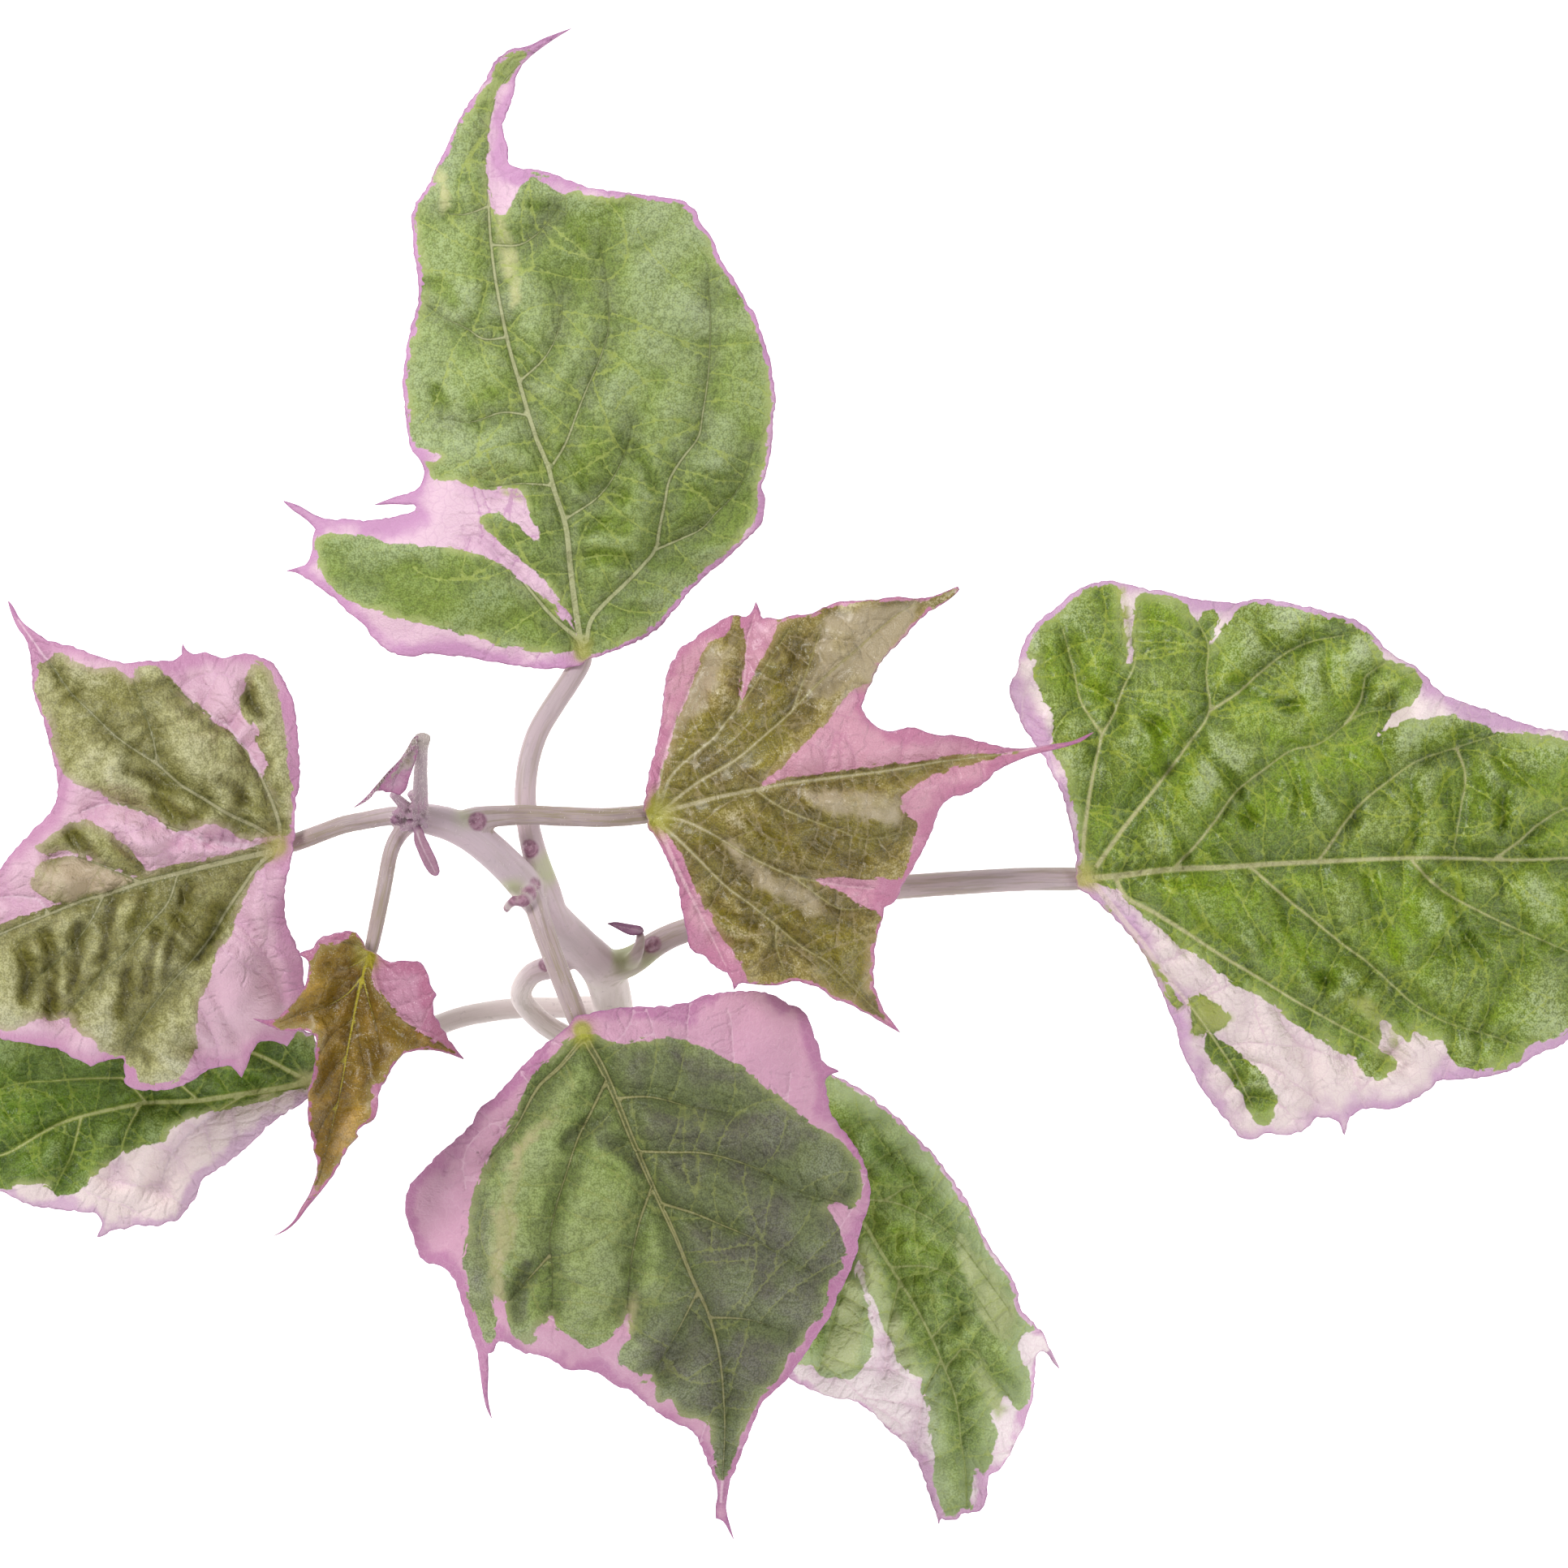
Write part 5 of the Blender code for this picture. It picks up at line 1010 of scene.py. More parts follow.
# The low right leaf: partly under the bottom leaf, creased hard along its midrib, with blank pink-white
# stripes. Its patches fade out through a wide pale fringe.
LOW_RIGHT_LEAF = {
    "outline": stroke("""
      918,1385 938,1342 960,1315 990,1310 1019,1322 1033,1328 1050,1336 1071,1349 1091,1365 1110,1380
      1129,1401 1150,1421 1174,1453 1191,1477 1204,1504 1216,1529 1233,1554 1249,1577 1257,1596 1260,1615
      1270,1627 1281,1638 1291,1652 1297,1667 1309,1693 1299,1683 1293,1673 1286,1669 1279,1677 1278,1696
      1276,1721 1270,1746 1260,1771 1247,1798 1235,1816 1222,1823 1219,1837 1218,1856 1212,1868 1199,1871
      1189,1872 1183,1879 1166,1881 1160,1879 1158,1887 1152,1866 1143,1841 1135,1816 1123,1796 1112,1781
      1095,1769 1079,1750 1062,1737 1046,1730 1029,1729 1012,1723 987,1712 969,1700 948,1660 932,1600
      920,1530 912,1450"""),
    "midrib": stroke("""
      935,1350 985,1400 1030,1455 1064,1507 1087,1546 1108,1579 1129,1613 1150,1654 1166,1692 1177,1721
      1183,1754 1185,1779 1191,1816 1193,1862"""),
    "veins": strokes("""
      1048,1480 1071,1480 1104,1484 1133,1496 1158,1511 1183,1534 1208,1567 1243,1615 /
      1085,1482 1100,1475 1120,1463 1150,1459 / 1040,1466 1071,1440 1091,1425 1116,1415 /
      1000,1417 1041,1392 1058,1386 1083,1382 / 1098,1563 1145,1563 1190,1585 1230,1640 /
      1150,1650 1174,1625 1208,1613 / 1165,1690 1185,1665 1204,1667 1220,1696 1249,1729 /
      1060,1505 1048,1560 1030,1620 1010,1690 / 1108,1585 1095,1640 1090,1700 /
      1160,1680 1140,1720 1130,1780 / 960,1375 950,1450 960,1540"""),
    "heights": stroke("""
      935,1350,16.4 1064,1507,20.5 1129,1613,18 1170,1700,13 1188,1790,6 1185,1865,0.2 1095,1372,11
      1204,1506,9.5 1257,1600,7 1306,1690,4 1272,1746,4.5 1222,1823,1.5 922,1530,12.5 952,1665,7.5
      1029,1729,4.5 1112,1783,1.4 1145,1845,-0.4 1158,1887,-0.8"""),
    "net": 40, "rib": 0.5, "pucker": 1.1, "quilt": 0.6, "swell": 0.4, "crinkle": 0.15, "ruffle": 0.35,
    "rim": 0.4,
    "folds": strokes("""
      1075,1410 1100,1440 1130,1450 / 1110,1520 1140,1540 1165,1560 / 1165,1590 1180,1610 1176,1640"""),
    "patches": [
        ("pink", stroke("""
        1060,1554 1071,1588 1079,1613 1093,1646 1104,1667 1108,1679 1125,1696 1139,1700 1135,1712
        1145,1737 1145,1766 1152,1800 1154,1837 1162,1862 1160,1895 1133,1851 1102,1791 1052,1747
        1002,1733 965,1708 981,1685 1004,1690 1012,1702 1050,1704 1071,1679 1075,1642 1064,1600 1056,1565""")),
        ("pink", stroke("""
        1262,1650 1285,1635 1319,1693 1289,1687 1286,1721 1270,1781 1245,1826 1232,1833 1228,1866
        1199,1881 1199,1866 1204,1816 1216,1827 1224,1800 1233,1771 1222,1746 1241,1725 1258,1746
        1268,1733 1268,1696 1258,1667"""))],
    "pale": strokes("""
      1040,1570 1054,1580 1062,1610 1068,1650 1058,1684 1030,1694 1008,1690 1018,1650 1030,1610 /
      1060,1520 1075,1540 1100,1600 1120,1650 1140,1700 1125,1696 1104,1667 1079,1613 1060,1554 /
      1184,1520 1215,1556 1247,1598 1257,1642 1236,1662 1212,1634 1196,1590 1180,1550 /
      1205,1670 1222,1700 1245,1740 1230,1760 1212,1720 1199,1690"""),
    "deep": strokes("""
      1030,1390 1090,1400 1160,1470 1200,1530 1140,1490 1070,1470 /
      1090,1490 1160,1520 1200,1600 1180,1640 1130,1560 /
      1040,1500 1060,1520 1050,1600 1030,1640 1020,1560 / 1180,1700 1215,1740 1220,1800 1195,1800""")}

low_right_skin = leaf_tissue("striped_leaf_tissue", dict(
    BASE_TINT, light="#8ea254", dark="#647a2e", deep="#557016", deep_share=0.8, bright="#86a01e",
    mottle="#7b903e", wax="#b3c098", wax_highlight_strength=0.5, pale="#bcc48c", fringe="#aebd8c", fringe_mm=3.6,
    fringe_all=0.6, vein="#a9b070", vein_edge="#7c8c40", vein_side="#72824c", side=0.5, net_vein="#abb85a",
    roughness=0.42, pink="#dcaecf", cream="#f6e6e8", cream_mm=1.2, blank_vein="#eed2da",
    pink_vein="#dfb9cb", net=0.5, mesh=0.2))
add_piece("low_right_leaf", grow_blade("low_right_leaf", LOW_RIGHT_LEAF, 67),
          low_right_skin, "variegated_leaf", "blade_low_right")

# The low left leaf: lies lowest, half under the left leaf, dark green above its midrib and lilac-white below.
LOW_LEFT_LEAF = {
    "outline": stroke("""
      388,1345 381,1352 359,1369 336,1383 317,1401 297,1420 275,1438 255,1450 242,1460 241,1470 232,1487
      220,1501 214,1510 200,1511 192,1515 176,1515 162,1514 148,1519 134,1520 123,1526 113,1530 115,1523
      119,1515 119,1508 115,1501 103,1498 87,1497 64,1494 36,1491 19,1485 0,1475 -60,1455 -120,1447
      -180,1446 -250,1440 -185,1400 -130,1345 -70,1280 0,1235 90,1212 200,1218 300,1240 360,1265 385,1275
      393,1310"""),
    "midrib": stroke("""
      384,1333 345,1342 289,1351 232,1359 176,1361 148,1366 120,1372 92,1379 64,1389 42,1401 16,1417
      0,1425 -60,1434 -170,1440"""),
    "veins": strokes("""
      378,1334 353,1321 317,1302 240,1280 120,1262 /
      176,1361 160,1342 148,1330 101,1331 59,1334 19,1337 0,1342 -60,1365 /
      95,1379 89,1403 84,1422 73,1445 59,1473 / 240,1357 210,1330 180,1300 140,1290 /
      300,1350 260,1375 210,1420 190,1470 / 170,1362 150,1400 140,1450"""),
    "heights": stroke("""
      386,1334,13.2 232,1359,11.5 92,1379,7.5 0,1425,3.5 -100,1442,0.3 -250,1440,-0.8 317,1401,8
      242,1462,3.5 200,1510,2 123,1524,1.5 36,1489,1 0,1473,0.6 -120,1446,-0.8 90,1216,9.5 200,1222,11
      0,1238,6.5 -130,1347,-0.6 -70,1284,2.8 300,1243,12.5 -80,1390,-0.7"""),
    "net": 40, "rib": 0.5, "pucker": 1.1, "quilt": 0.7, "swell": 0.45, "crinkle": 0.15, "ruffle": 0.35,
    "rim": 0.3,
    "folds": strokes("60,1345 90,1352 130,1348 / 250,1320 280,1328 310,1335 / 10,1370 40,1366 70,1360"),
    "patches": [
        ("pink", stroke("""
        382,1340 345,1352 320,1361 300,1366 261,1372 232,1380 210,1393 200,1408 162,1418 143,1425
        126,1441 109,1453 92,1471 64,1477 50,1464 20,1464 0,1471 -60,1448 -120,1440 -130,1460 -60,1470
        0,1490 36,1510 113,1550 224,1525 252,1475 327,1411 398,1350"""))],
    "pale": strokes("378,1332 345,1344 330,1356 300,1362 340,1340"),
    "deep": strokes("""
      320,1290 360,1300 300,1330 240,1340 250,1310 /
      60,1345 130,1345 160,1360 90,1372 40,1390 0,1400 10,1370 / 0,1440 60,1420 80,1450 50,1460 10,1460""")}

low_left_skin = leaf_tissue("dark_green_leaf_tissue", dict(
    BASE_TINT, light="#6f8434", dark="#465e18", deep="#3c540f", deep_share=0.8, bright="#6a8a1a",
    vivid=0.55, mottle="#5f742e", wax="#98a878", wax_highlight_strength=0.4, pale="#c6c690", fringe="#a3ab6c",
    vein="#b9bc7c", vein_edge="#87943c", vein_side="#54652a", net_vein="#a0ae4a", roughness=0.42,
    pink="#d2afc8", cream="#eedcda", cream_mm=1.6, blank_vein="#dcc6cf", pink_vein="#dcbccf", net=0.45,
    mesh=0.12, heart="#c0bc80"))
add_piece("low_left_leaf", grow_blade("low_left_leaf", LOW_LEFT_LEAF, 71),
          low_left_skin, "variegated_leaf", "blade_low_left")

# The young leaf: small and glossy, olive gold, with one rosy lobe and a yellow-green midrib that runs into
# its curled tip.
YOUNG_LEAF = {
    "outline": stroke("""
      455,1168 451,1160 446,1152 441,1146 429,1145 418,1148 408,1150 399,1153 392,1159 387,1167 380,1170
      374,1172 369,1175 375,1177 381,1183 382,1195 380,1208 375,1219 367,1230 356,1242 345,1251 335,1255
      324,1255 312,1253 320,1257 332,1262 343,1268 356,1270 375,1268 386,1271 391,1277 392,1289 390,1307
      387,1326 382,1342 381,1361 382,1382 385,1399 388,1415 392,1433 392,1441 388,1455 382,1471 372,1487
      363,1503 351,1514 334,1524 354,1515 368,1503 380,1487 394,1471 407,1455 418,1439 426,1423 434,1409
      445,1399 442,1393 450,1385 461,1381 467,1372 469,1356 471,1342 479,1329 487,1313 498,1299 509,1295
      525,1293 541,1294 554,1297 565,1301 575,1305 565,1293 554,1275 544,1259 538,1246 537,1230 544,1223
      537,1219 532,1206 528,1194 520,1184 509,1182 496,1182 485,1183 475,1180 469,1174"""),
    "midrib": stroke("""
      458,1174 450,1198 443,1227 437,1259 431,1291 425,1326 419,1356 411,1388 403,1420 394,1452 372,1492"""),
    "veins": strokes("""
      455,1178 434,1190 420,1194 407,1188 / 450,1200 431,1223 412,1235 391,1243 370,1249 348,1258 /
      456,1172 439,1164 415,1157 /
      458,1178 461,1190 467,1214 479,1232 498,1254 520,1270 541,1283 562,1296 /
      450,1205 457,1232 466,1265 471,1297 / 439,1250 450,1307 460,1342 / 428,1300 410,1320 395,1345 /
      418,1358 402,1378 392,1400 / 437,1255 415,1270 398,1295"""),
    "heights": stroke("""
      458,1174,51.4 437,1259,50.5 411,1388,46.5 370,1485,40 334,1524,36 385,1195,51 369,1175,50
      430,1147,51 312,1253,45.8 388,1300,50.5 540,1222,51 575,1305,45 500,1300,50 445,1393,48.5"""),
    "net": 24, "rib": 0.38, "pucker": 1.0, "quilt": 0.6, "swell": 0.5, "crinkle": 0.2, "ruffle": 0.3,
    "rim": 0.22,
    "folds": strokes("""
      420,1215 412,1235 405,1252 / 415,1300 405,1320 400,1340 / 455,1290 462,1310 464,1330 /
      480,1255 492,1275 510,1286"""),
    "patches": [
        ("pink", stroke("""
        461,1190 467,1214 479,1232 498,1254 520,1270 541,1283 585,1310 564,1275 548,1246 554,1223
        542,1206 530,1174 496,1172 469,1170""")),
        ("pink", stroke("462,1335 475,1335 475,1377 462,1377")),
        ("pink", stroke("441,1138 399,1143 365,1172 384,1184 398,1163 436,1154"))],
    "deep": strokes("""
      395,1165 440,1160 440,1190 400,1215 385,1200 / 395,1350 415,1360 400,1420 385,1470 395,1400 /
      500,1270 545,1290 500,1295""")}

young_skin = leaf_tissue("golden_young_leaf_tissue", dict(
    BASE_TINT, light="#b48c3c", dark="#7c6018", deep="#624c08", bright="#94791a", mottle="#8a6a24",
    wax="#bfa05e", wax_highlight_strength=0.22, speckle=0.16, pale="#a39a50", fringe="#94804a", vein="#b5a82c",
    vein_edge="#5a4410", core=-0.1, vein_side="#5c420e", side=0.85, net_vein="#8c7430", roughness=0.34,
    coat=0.25, pink="#b26c8a", cream="#c088a0", cream_mm=2.0, blank_vein="#c592a2", pink_vein="#cf9cb0",
    net=0.3, mesh=0.12, mesh_mm=0.9, heart="#a09428"))
add_piece("young_leaf", grow_blade("young_leaf", YOUNG_LEAF, 83),
          young_skin, "young_leaf", "blade_young")

# The folded leaf at the shoot's tip: not yet open, two downy flaps pressed together along the midrib.
FRONT_FLAP = {
    "outline": stroke("""
      519,907 513,908 504,924 494,938 482,950 468,966 452,984 437,996 450,990 462,981 465,975 479,973
      487,965 494,950 505,930 517,918"""),
    "midrib": stroke("514,912 496,937 470,965 446,989"),
    "veins": strokes("508,922 500,936 490,950 / 490,944 484,956 476,966"),
    "heights": stroke("515,907,61 489,940,59.4 466,972,57 437,996,54.3 503,940,58.8 484,965,57.6"),
    "net": 14, "rib": 0.2, "pucker": 0.15, "quilt": 0.06, "swell": 0.15, "crinkle": 0.05, "ruffle": 0.12,
    "rim": 0.12,
    "patches": [
        ("pink", stroke("""
        437,1000 452,985 466,975 478,968 486,960 494,945 504,929 512,922 505,945 495,965 486,978 465,984
        450,997"""))]}
BACK_FLAP = {
    "outline": stroke("""
      515,909 506,922 494,940 480,956 470,970 478,977 486,976 495,981 503,974 508,958 516,935 519,920"""),
    "midrib": stroke("510,916 500,940 488,968"),
    "heights": stroke("515,907,60.3 489,940,58.6 473,970,56.6 503,972,56.6 512,940,58 495,978,56.4"),
    "net": 14, "rib": 0.15, "pucker": 0.1, "quilt": 0.05, "swell": 0.1, "crinkle": 0.03, "ruffle": 0.1,
    "rim": 0.12,
    "patches": [
        ("pink", stroke("465,985 478,963 492,958 505,945 512,950 505,985 490,990"))]}

folded_skin = leaf_tissue("downy_folded_leaf_tissue", dict(
    BASE_TINT, light="#a0957f", dark="#766a50", deep="#8a7e66", bright="#958a60", mottle="#8f8470",
    wax="#bdb2a8", pale="#b0a392", fringe="#b09aa0", vein="#b3a8a0", vein_edge="#958a78",
    vein_side="#857868", net_vein="#a89c90", roughness=0.6, pink="#ad7496", cream="#b890a6", cream_mm=1.2,
    blank_vein="#c3a3b5", pink_vein="#a37090", net=0.3, mesh=0.2, mesh_mm=0.6, rim_colour="#9a6088",
    heart="#9c9088", heart_mm=1.0))
add_piece("folded_leaf_front", grow_blade("folded_leaf_front", FRONT_FLAP, 91),
          folded_skin, "young_leaf", "blade_folded")
add_piece("folded_leaf_back", grow_blade("folded_leaf_back", BACK_FLAP, 97),
          folded_skin, "young_leaf", "blade_folded")

# The scale leaf at the right-hand node: a first tiny leaf, mauve all over.
SCALE_LEAF = {
    "outline": stroke("""
      747,1138 757,1136 766,1137 777,1139 790,1141 794,1146 793,1150 780,1153 770,1150 759,1144"""),
    "midrib": stroke("791,1147 775,1144 752,1139"),
    "heights": stroke("747,1138,26.5 770,1143,27.6 794,1150,27.8 777,1139,27.2"),
    "net": 12, "rib": 0.14, "pucker": 0.08, "quilt": 0.04, "swell": 0.05, "crinkle": 0.02,
    "ruffle": 0.05, "rim": 0.05,
    "ground": "pink"}

scale_skin = leaf_tissue("mauve_scale_leaf_tissue", dict(
    BASE_TINT, pink="#97698a", cream="#ab839c", cream_mm=0.9, blank_vein="#b08ca2", pink_vein="#8a6180",
    net=0.3, mesh=0.15, mesh_mm=0.6, rim_colour="#7c4a72", heart="#9a7a90", heart_mm=0.8))
add_piece("scale_leaf", grow_blade("scale_leaf", SCALE_LEAF, 101),
          scale_skin, "young_leaf", "blade_axil")

# The stem and its leaf stalks: one soft green network under a thin mauve skin, grown together at the nodes,
# ribbed lengthwise, with small buds in the axils. A stop is x,y,height,radius, and a stalk's last stops have
# no height, because they are seated under its blade. A bud is x,y,height and its two half sizes in mm.
STEM_ROUTE = stroke("""
    508,1006,45.6,1.7 530,1009,45.6,1.95 560,1017,45.4,2.1 590,1034,44.4,2.15 625,1065,42,2.15
    655,1098,38.5,2.25 685,1134,33.5,2.25 715,1166,28,2.4 742,1196,22,2.65 753,1232,14.5,2.55
    757,1270,8,2.55 762,1325,4,2.6 770,1400,2.7,2.6 780,1480,2.6,2.6 790,1560,2.6,2.6""")
STALK_ROUTES = {
    "top_leaf": (stroke("""
        686,1132,33.8,1.6 674,1098,36.6,1.8 660,1054,38.4,1.6 649,1000,38.8,1.4 650,950,38,1.38
        662,905,36.4,1.38 682,870,34.8,1.38 703,838,33.4,1.38"""),
        stroke("718,810,1.3 714,790,0.8 711,762,0.35")),
    "bottom_leaf": (stroke("648,1086,38.8,1.9 660,1112,40.3,1.5 672,1150,41.6,1.4 691,1200,42,1.38"),
        stroke("713,1256,1.35 721,1276,0.85 733,1302,0.4")),
    "middle_leaf": (stroke("""
        566,1020,45,2 585,1010,45.1,1.65 605,1006,45,1.4 650,1004,44.8,1.28 700,1006,44.6,1.25
        750,1007,44.4,1.25"""),
        stroke("798,1003,1.2 815,1001,0.8 842,993,0.35")),
    "left_leaf": (stroke("""
        512,1006,45.6,1.3 485,1005,45.2,1.2 450,1011,44,1.15 425,1016,43.2,1.15 400,1025,42.4,1.15"""),
        stroke("362,1039,1.15 343,1044,0.8 318,1051,0.35")),
    "young_leaf": (stroke("512,1010,45.4,1.2 497,1024,45.6,1.1 484,1048,47,1 474,1100,48.8,1"),
        stroke("460,1168,0.9 456,1182,0.6 450,1200,0.3")),
    "low_right_leaf": (stroke("""
        712,1172,26.5,1.6 683,1190,26,1.5 655,1200,24.5,1.4 641,1226,21.5,1.4 658,1252,18.5,1.4
        690,1275,16.6,1.45 745,1296,15.2,1.45 830,1320,14.8,1.45"""),
        stroke("934,1346,1.4 952,1366,0.85 972,1388,0.4")),
    "low_left_leaf": (stroke("""
        752,1244,12.2,1.6 725,1242,11.2,1.45 690,1243,10.4,1.35 645,1243,10,1.35 600,1248,10,1.35
        550,1260,10.2,1.35 460,1300,11,1.4"""),
        stroke("388,1333,1.35 366,1338,0.85 340,1343,0.4")),
    "right_leaf": (stroke("""
        726,1180,25,1.7 745,1190,23.2,2 765,1189,22.8,2 785,1180,23,1.8 810,1162,23.4,1.65 850,1145,24,1.55
        950,1118,25,1.55 1050,1100,25.4,1.55 1125,1092,25.5,1.55 1250,1084,25.2,1.5"""),
        stroke("1330,1083,1.45 1350,1082,0.9 1378,1079,0.45"))}
AXIL_BUDS = stroke("""
    590,1012,46.3,0.85,1.05 655,1090,40.3,0.8,0.9 653,1046,39.9,0.85,0.95 673,1186,26.9,0.7,1.05
    803,1164,25,0.75,0.85""")
CURLED_BUD = stroke("""
    654,1088,41.2,0.8 653,1100,42,0.85 645,1111,42.8,0.85 634,1109,42.8,0.65 623,1121,41.8,0.55""")
SIDE_SHOOT = stroke("776,1186,24.4,1 785,1174,26,0.85 789,1162,26.7,0.7 788,1147,27,0.5")
STRIPES = [0.14, 0.35, 0.8, 1.0, 0.85, 0.95, 0.3, 0.1, 0.5]
PLAIN_FOOT = 8.0
ROUTE_STEP = 10.0
SET_IN = 0.12
SEAT_REACH = 0.8
STEM_VOXEL = 0.26
STEM_SMOOTHING = 12
BUD_LIFT = 0.25
BUD_REACH = 1.05
NODE_SPOTS = stroke("""
    769,1178,24,1.2 797,1184,23.6,0.5 572,1009,46.2,0.1 676,1070,39,0.9 779,1198,22.6,0.3 632,1094,42,0.5
    735,1200,22,0.4""")
# Pale spots low on the stem and stalks: partly their paler lower skin, partly painted light that lifts the
# shade of the leaves above them.
LOW_SPOTS = stroke("757,1262,8,14 775,1450,3,30 745,1222,15,6 590,1255,10,14")


def corners_of(mesh):
    """A mesh's points, as rows of x, y and z in metres."""
    flat = np.empty(len(mesh.vertices) * 3)
    mesh.vertices.foreach_get("co", flat)
    return flat.reshape(-1, 3)


def seated(leaf_name, stops, ends):
    """A stalk's route, its last stops brought up into its blade's underside, where it becomes the midrib."""
    verts = corners_of(bpy.data.meshes[leaf_name])
    for x, y, radius in ends:
        apart = np.linalg.norm(verts[:, :2] - np.array(place(x, y))[:2], axis=1)
        under = verts[apart < max(radius, SEAT_REACH) * MM, 2].min() / MM
        stops = stops + [(x, y, under + SET_IN - radius, radius)]
    return stops


def smooth_route(stops):
    """Points about one step apart on the curve through the stops, each with its height and radius."""
    stops = np.array(stops, float)
    padded = np.vstack([2 * stops[0] - stops[1], stops, 2 * stops[-1] - stops[-2]])
    route = []
    for a, b, c, d in zip(padded, padded[1:], padded[2:], padded[3:]):
        run = (c - b)[:3] * (1, 1, 10)
        count = max(1, round(float(np.linalg.norm(run)) / ROUTE_STEP))
        for t in np.arange(count) / count:
            route.append(0.5 * (2 * b + (c - a) * t + (2 * a - 5 * b + 4 * c - d) * t ** 2
                                + (3 * b - a - 3 * c + d) * t ** 3))
    route.append(stops[-1])
    return np.array(route)


def tube(stops):
    """A round stalk along a route, closed at both ends."""
    curve = bpy.data.curves.new("route", "CURVE")
    curve.dimensions = "3D"
    curve.bevel_depth = 1.0
    curve.bevel_resolution = 4
    curve.use_fill_caps = True
    route = smooth_route(stops)
    spline = curve.splines.new("POLY")
    spline.points.add(len(route) - 1)
    for point, (x, y, height, radius) in zip(spline.points, route):
        point.co = (*place(x, y, height), 1.0)
        point.radius = radius * MM
    guide = bpy.data.objects.new("route", curve)
    bpy.context.scene.collection.objects.link(guide)
    bpy.context.view_layer.update()
    mesh = bpy.data.meshes.new_from_object(guide.evaluated_get(bpy.context.evaluated_depsgraph_get()))
    bpy.data.objects.remove(guide, do_unlink=True)
    return mesh


def bud(x, y, height, wide_half, long_half):
    """A plump bud, a little longer upwards than it is wide."""
    bm = bmesh.new()
    bmesh.ops.create_uvsphere(bm, u_segments=20, v_segments=12, radius=1.0)
    bmesh.ops.scale(bm, verts=bm.verts, vec=(wide_half * MM, wide_half * MM, long_half * MM))
    bmesh.ops.translate(bm, verts=bm.verts, vec=place(x, y, height))
    mesh = bpy.data.meshes.new("bud")
    bm.to_mesh(mesh)
    bm.free()
    return mesh


def grown_together(name, parts, voxel, smoothing):
    """One skin over overlapping parts, as tissue that grew as one, with soft fillets where they meet."""
    bm = bmesh.new()
    for part in parts:
        bm.from_mesh(part)
    bmesh.ops.remove_doubles(bm, verts=bm.verts, dist=1e-6)
    bmesh.ops.recalc_face_normals(bm, faces=bm.faces)
    mesh = bpy.data.meshes.new(name)
    bm.to_mesh(mesh)
    bm.free()
    rough = bpy.data.objects.new(name, mesh)
    bpy.context.scene.collection.objects.link(rough)
    weld = rough.modifiers.new("weld", "REMESH")
    weld.mode = "VOXEL"
    weld.voxel_size = voxel * MM
    soften = rough.modifiers.new("soften", "SMOOTH")
    soften.factor = 0.5
    soften.iterations = smoothing
    bpy.context.view_layer.update()
    mesh = bpy.data.meshes.new_from_object(rough.evaluated_get(bpy.context.evaluated_depsgraph_get()))
    bpy.data.objects.remove(rough, do_unlink=True)
    mesh.name = name
    mesh.shade_smooth()
    return mesh


def follow_routes(mesh, routes, stripes):
    """Keeps with each point its place round and along the nearest stalk, and how striped that is. Stripes
    come in over the plain foot of a stalk, because the stem it leaves has hardly any."""
    centres, ways, runs, shares = [], [], [], []
    for stops, stripe in zip(routes, stripes):
        route = smooth_route(stops)
        spots = np.array([tuple(place(x, y, z)) for x, y, z, _ in route])
        steps = np.gradient(spots, axis=0)
        centres.append(spots)
        ways.append(steps / np.linalg.norm(steps, axis=1)[:, None])
        runs.append(np.concatenate([[0], np.cumsum(np.linalg.norm(np.diff(spots, axis=0), axis=1))]) / MM)
        shares.append(stripes[0] + (stripe - stripes[0]) * (runs[-1] / PLAIN_FOOT).clip(0, 1))
    centres, ways = np.concatenate(centres), np.concatenate(ways)
    runs, shares = np.concatenate(runs), np.concatenate(shares)
    tree = kdtree.KDTree(len(centres))
    for i, spot in enumerate(centres):
        tree.insert(spot, i)
    tree.balance()
    verts = corners_of(mesh)
    close = np.array([tree.find(v)[1] for v in verts])
    way = ways[close]
    sideways = np.cross(way, (0, 0, 1.0))
    sideways /= np.maximum(np.linalg.norm(sideways, axis=1), 1e-6)[:, None]
    upright = np.cross(sideways, way)
    out = verts - centres[close]
    turn = np.stack([(out * sideways).sum(axis=1), (out * upright).sum(axis=1)], axis=1)
    turn /= np.maximum(np.linalg.norm(turn, axis=1), 1e-9)[:, None]
    along = runs[close] + (out * way).sum(axis=1) / MM
    store = mesh.attributes.new("grain", "FLOAT_VECTOR", "POINT")
    store.data.foreach_set("vector", np.column_stack([turn, along]).astype(np.float32).ravel())
    keep_field(mesh, "stripe", shares[close])
    return verts


def near_spots(mesh, key, verts, spots):
    """Keeps with each point its distance in mm to the closest of some spots, less that spot's size."""
    gaps = np.full(len(verts), 99.0)
    for x, y, height, size in spots:
        gaps = np.minimum(gaps, np.linalg.norm(verts - np.array(place(x, y, height)), axis=1) / MM - size)
    keep_field(mesh, key, gaps)


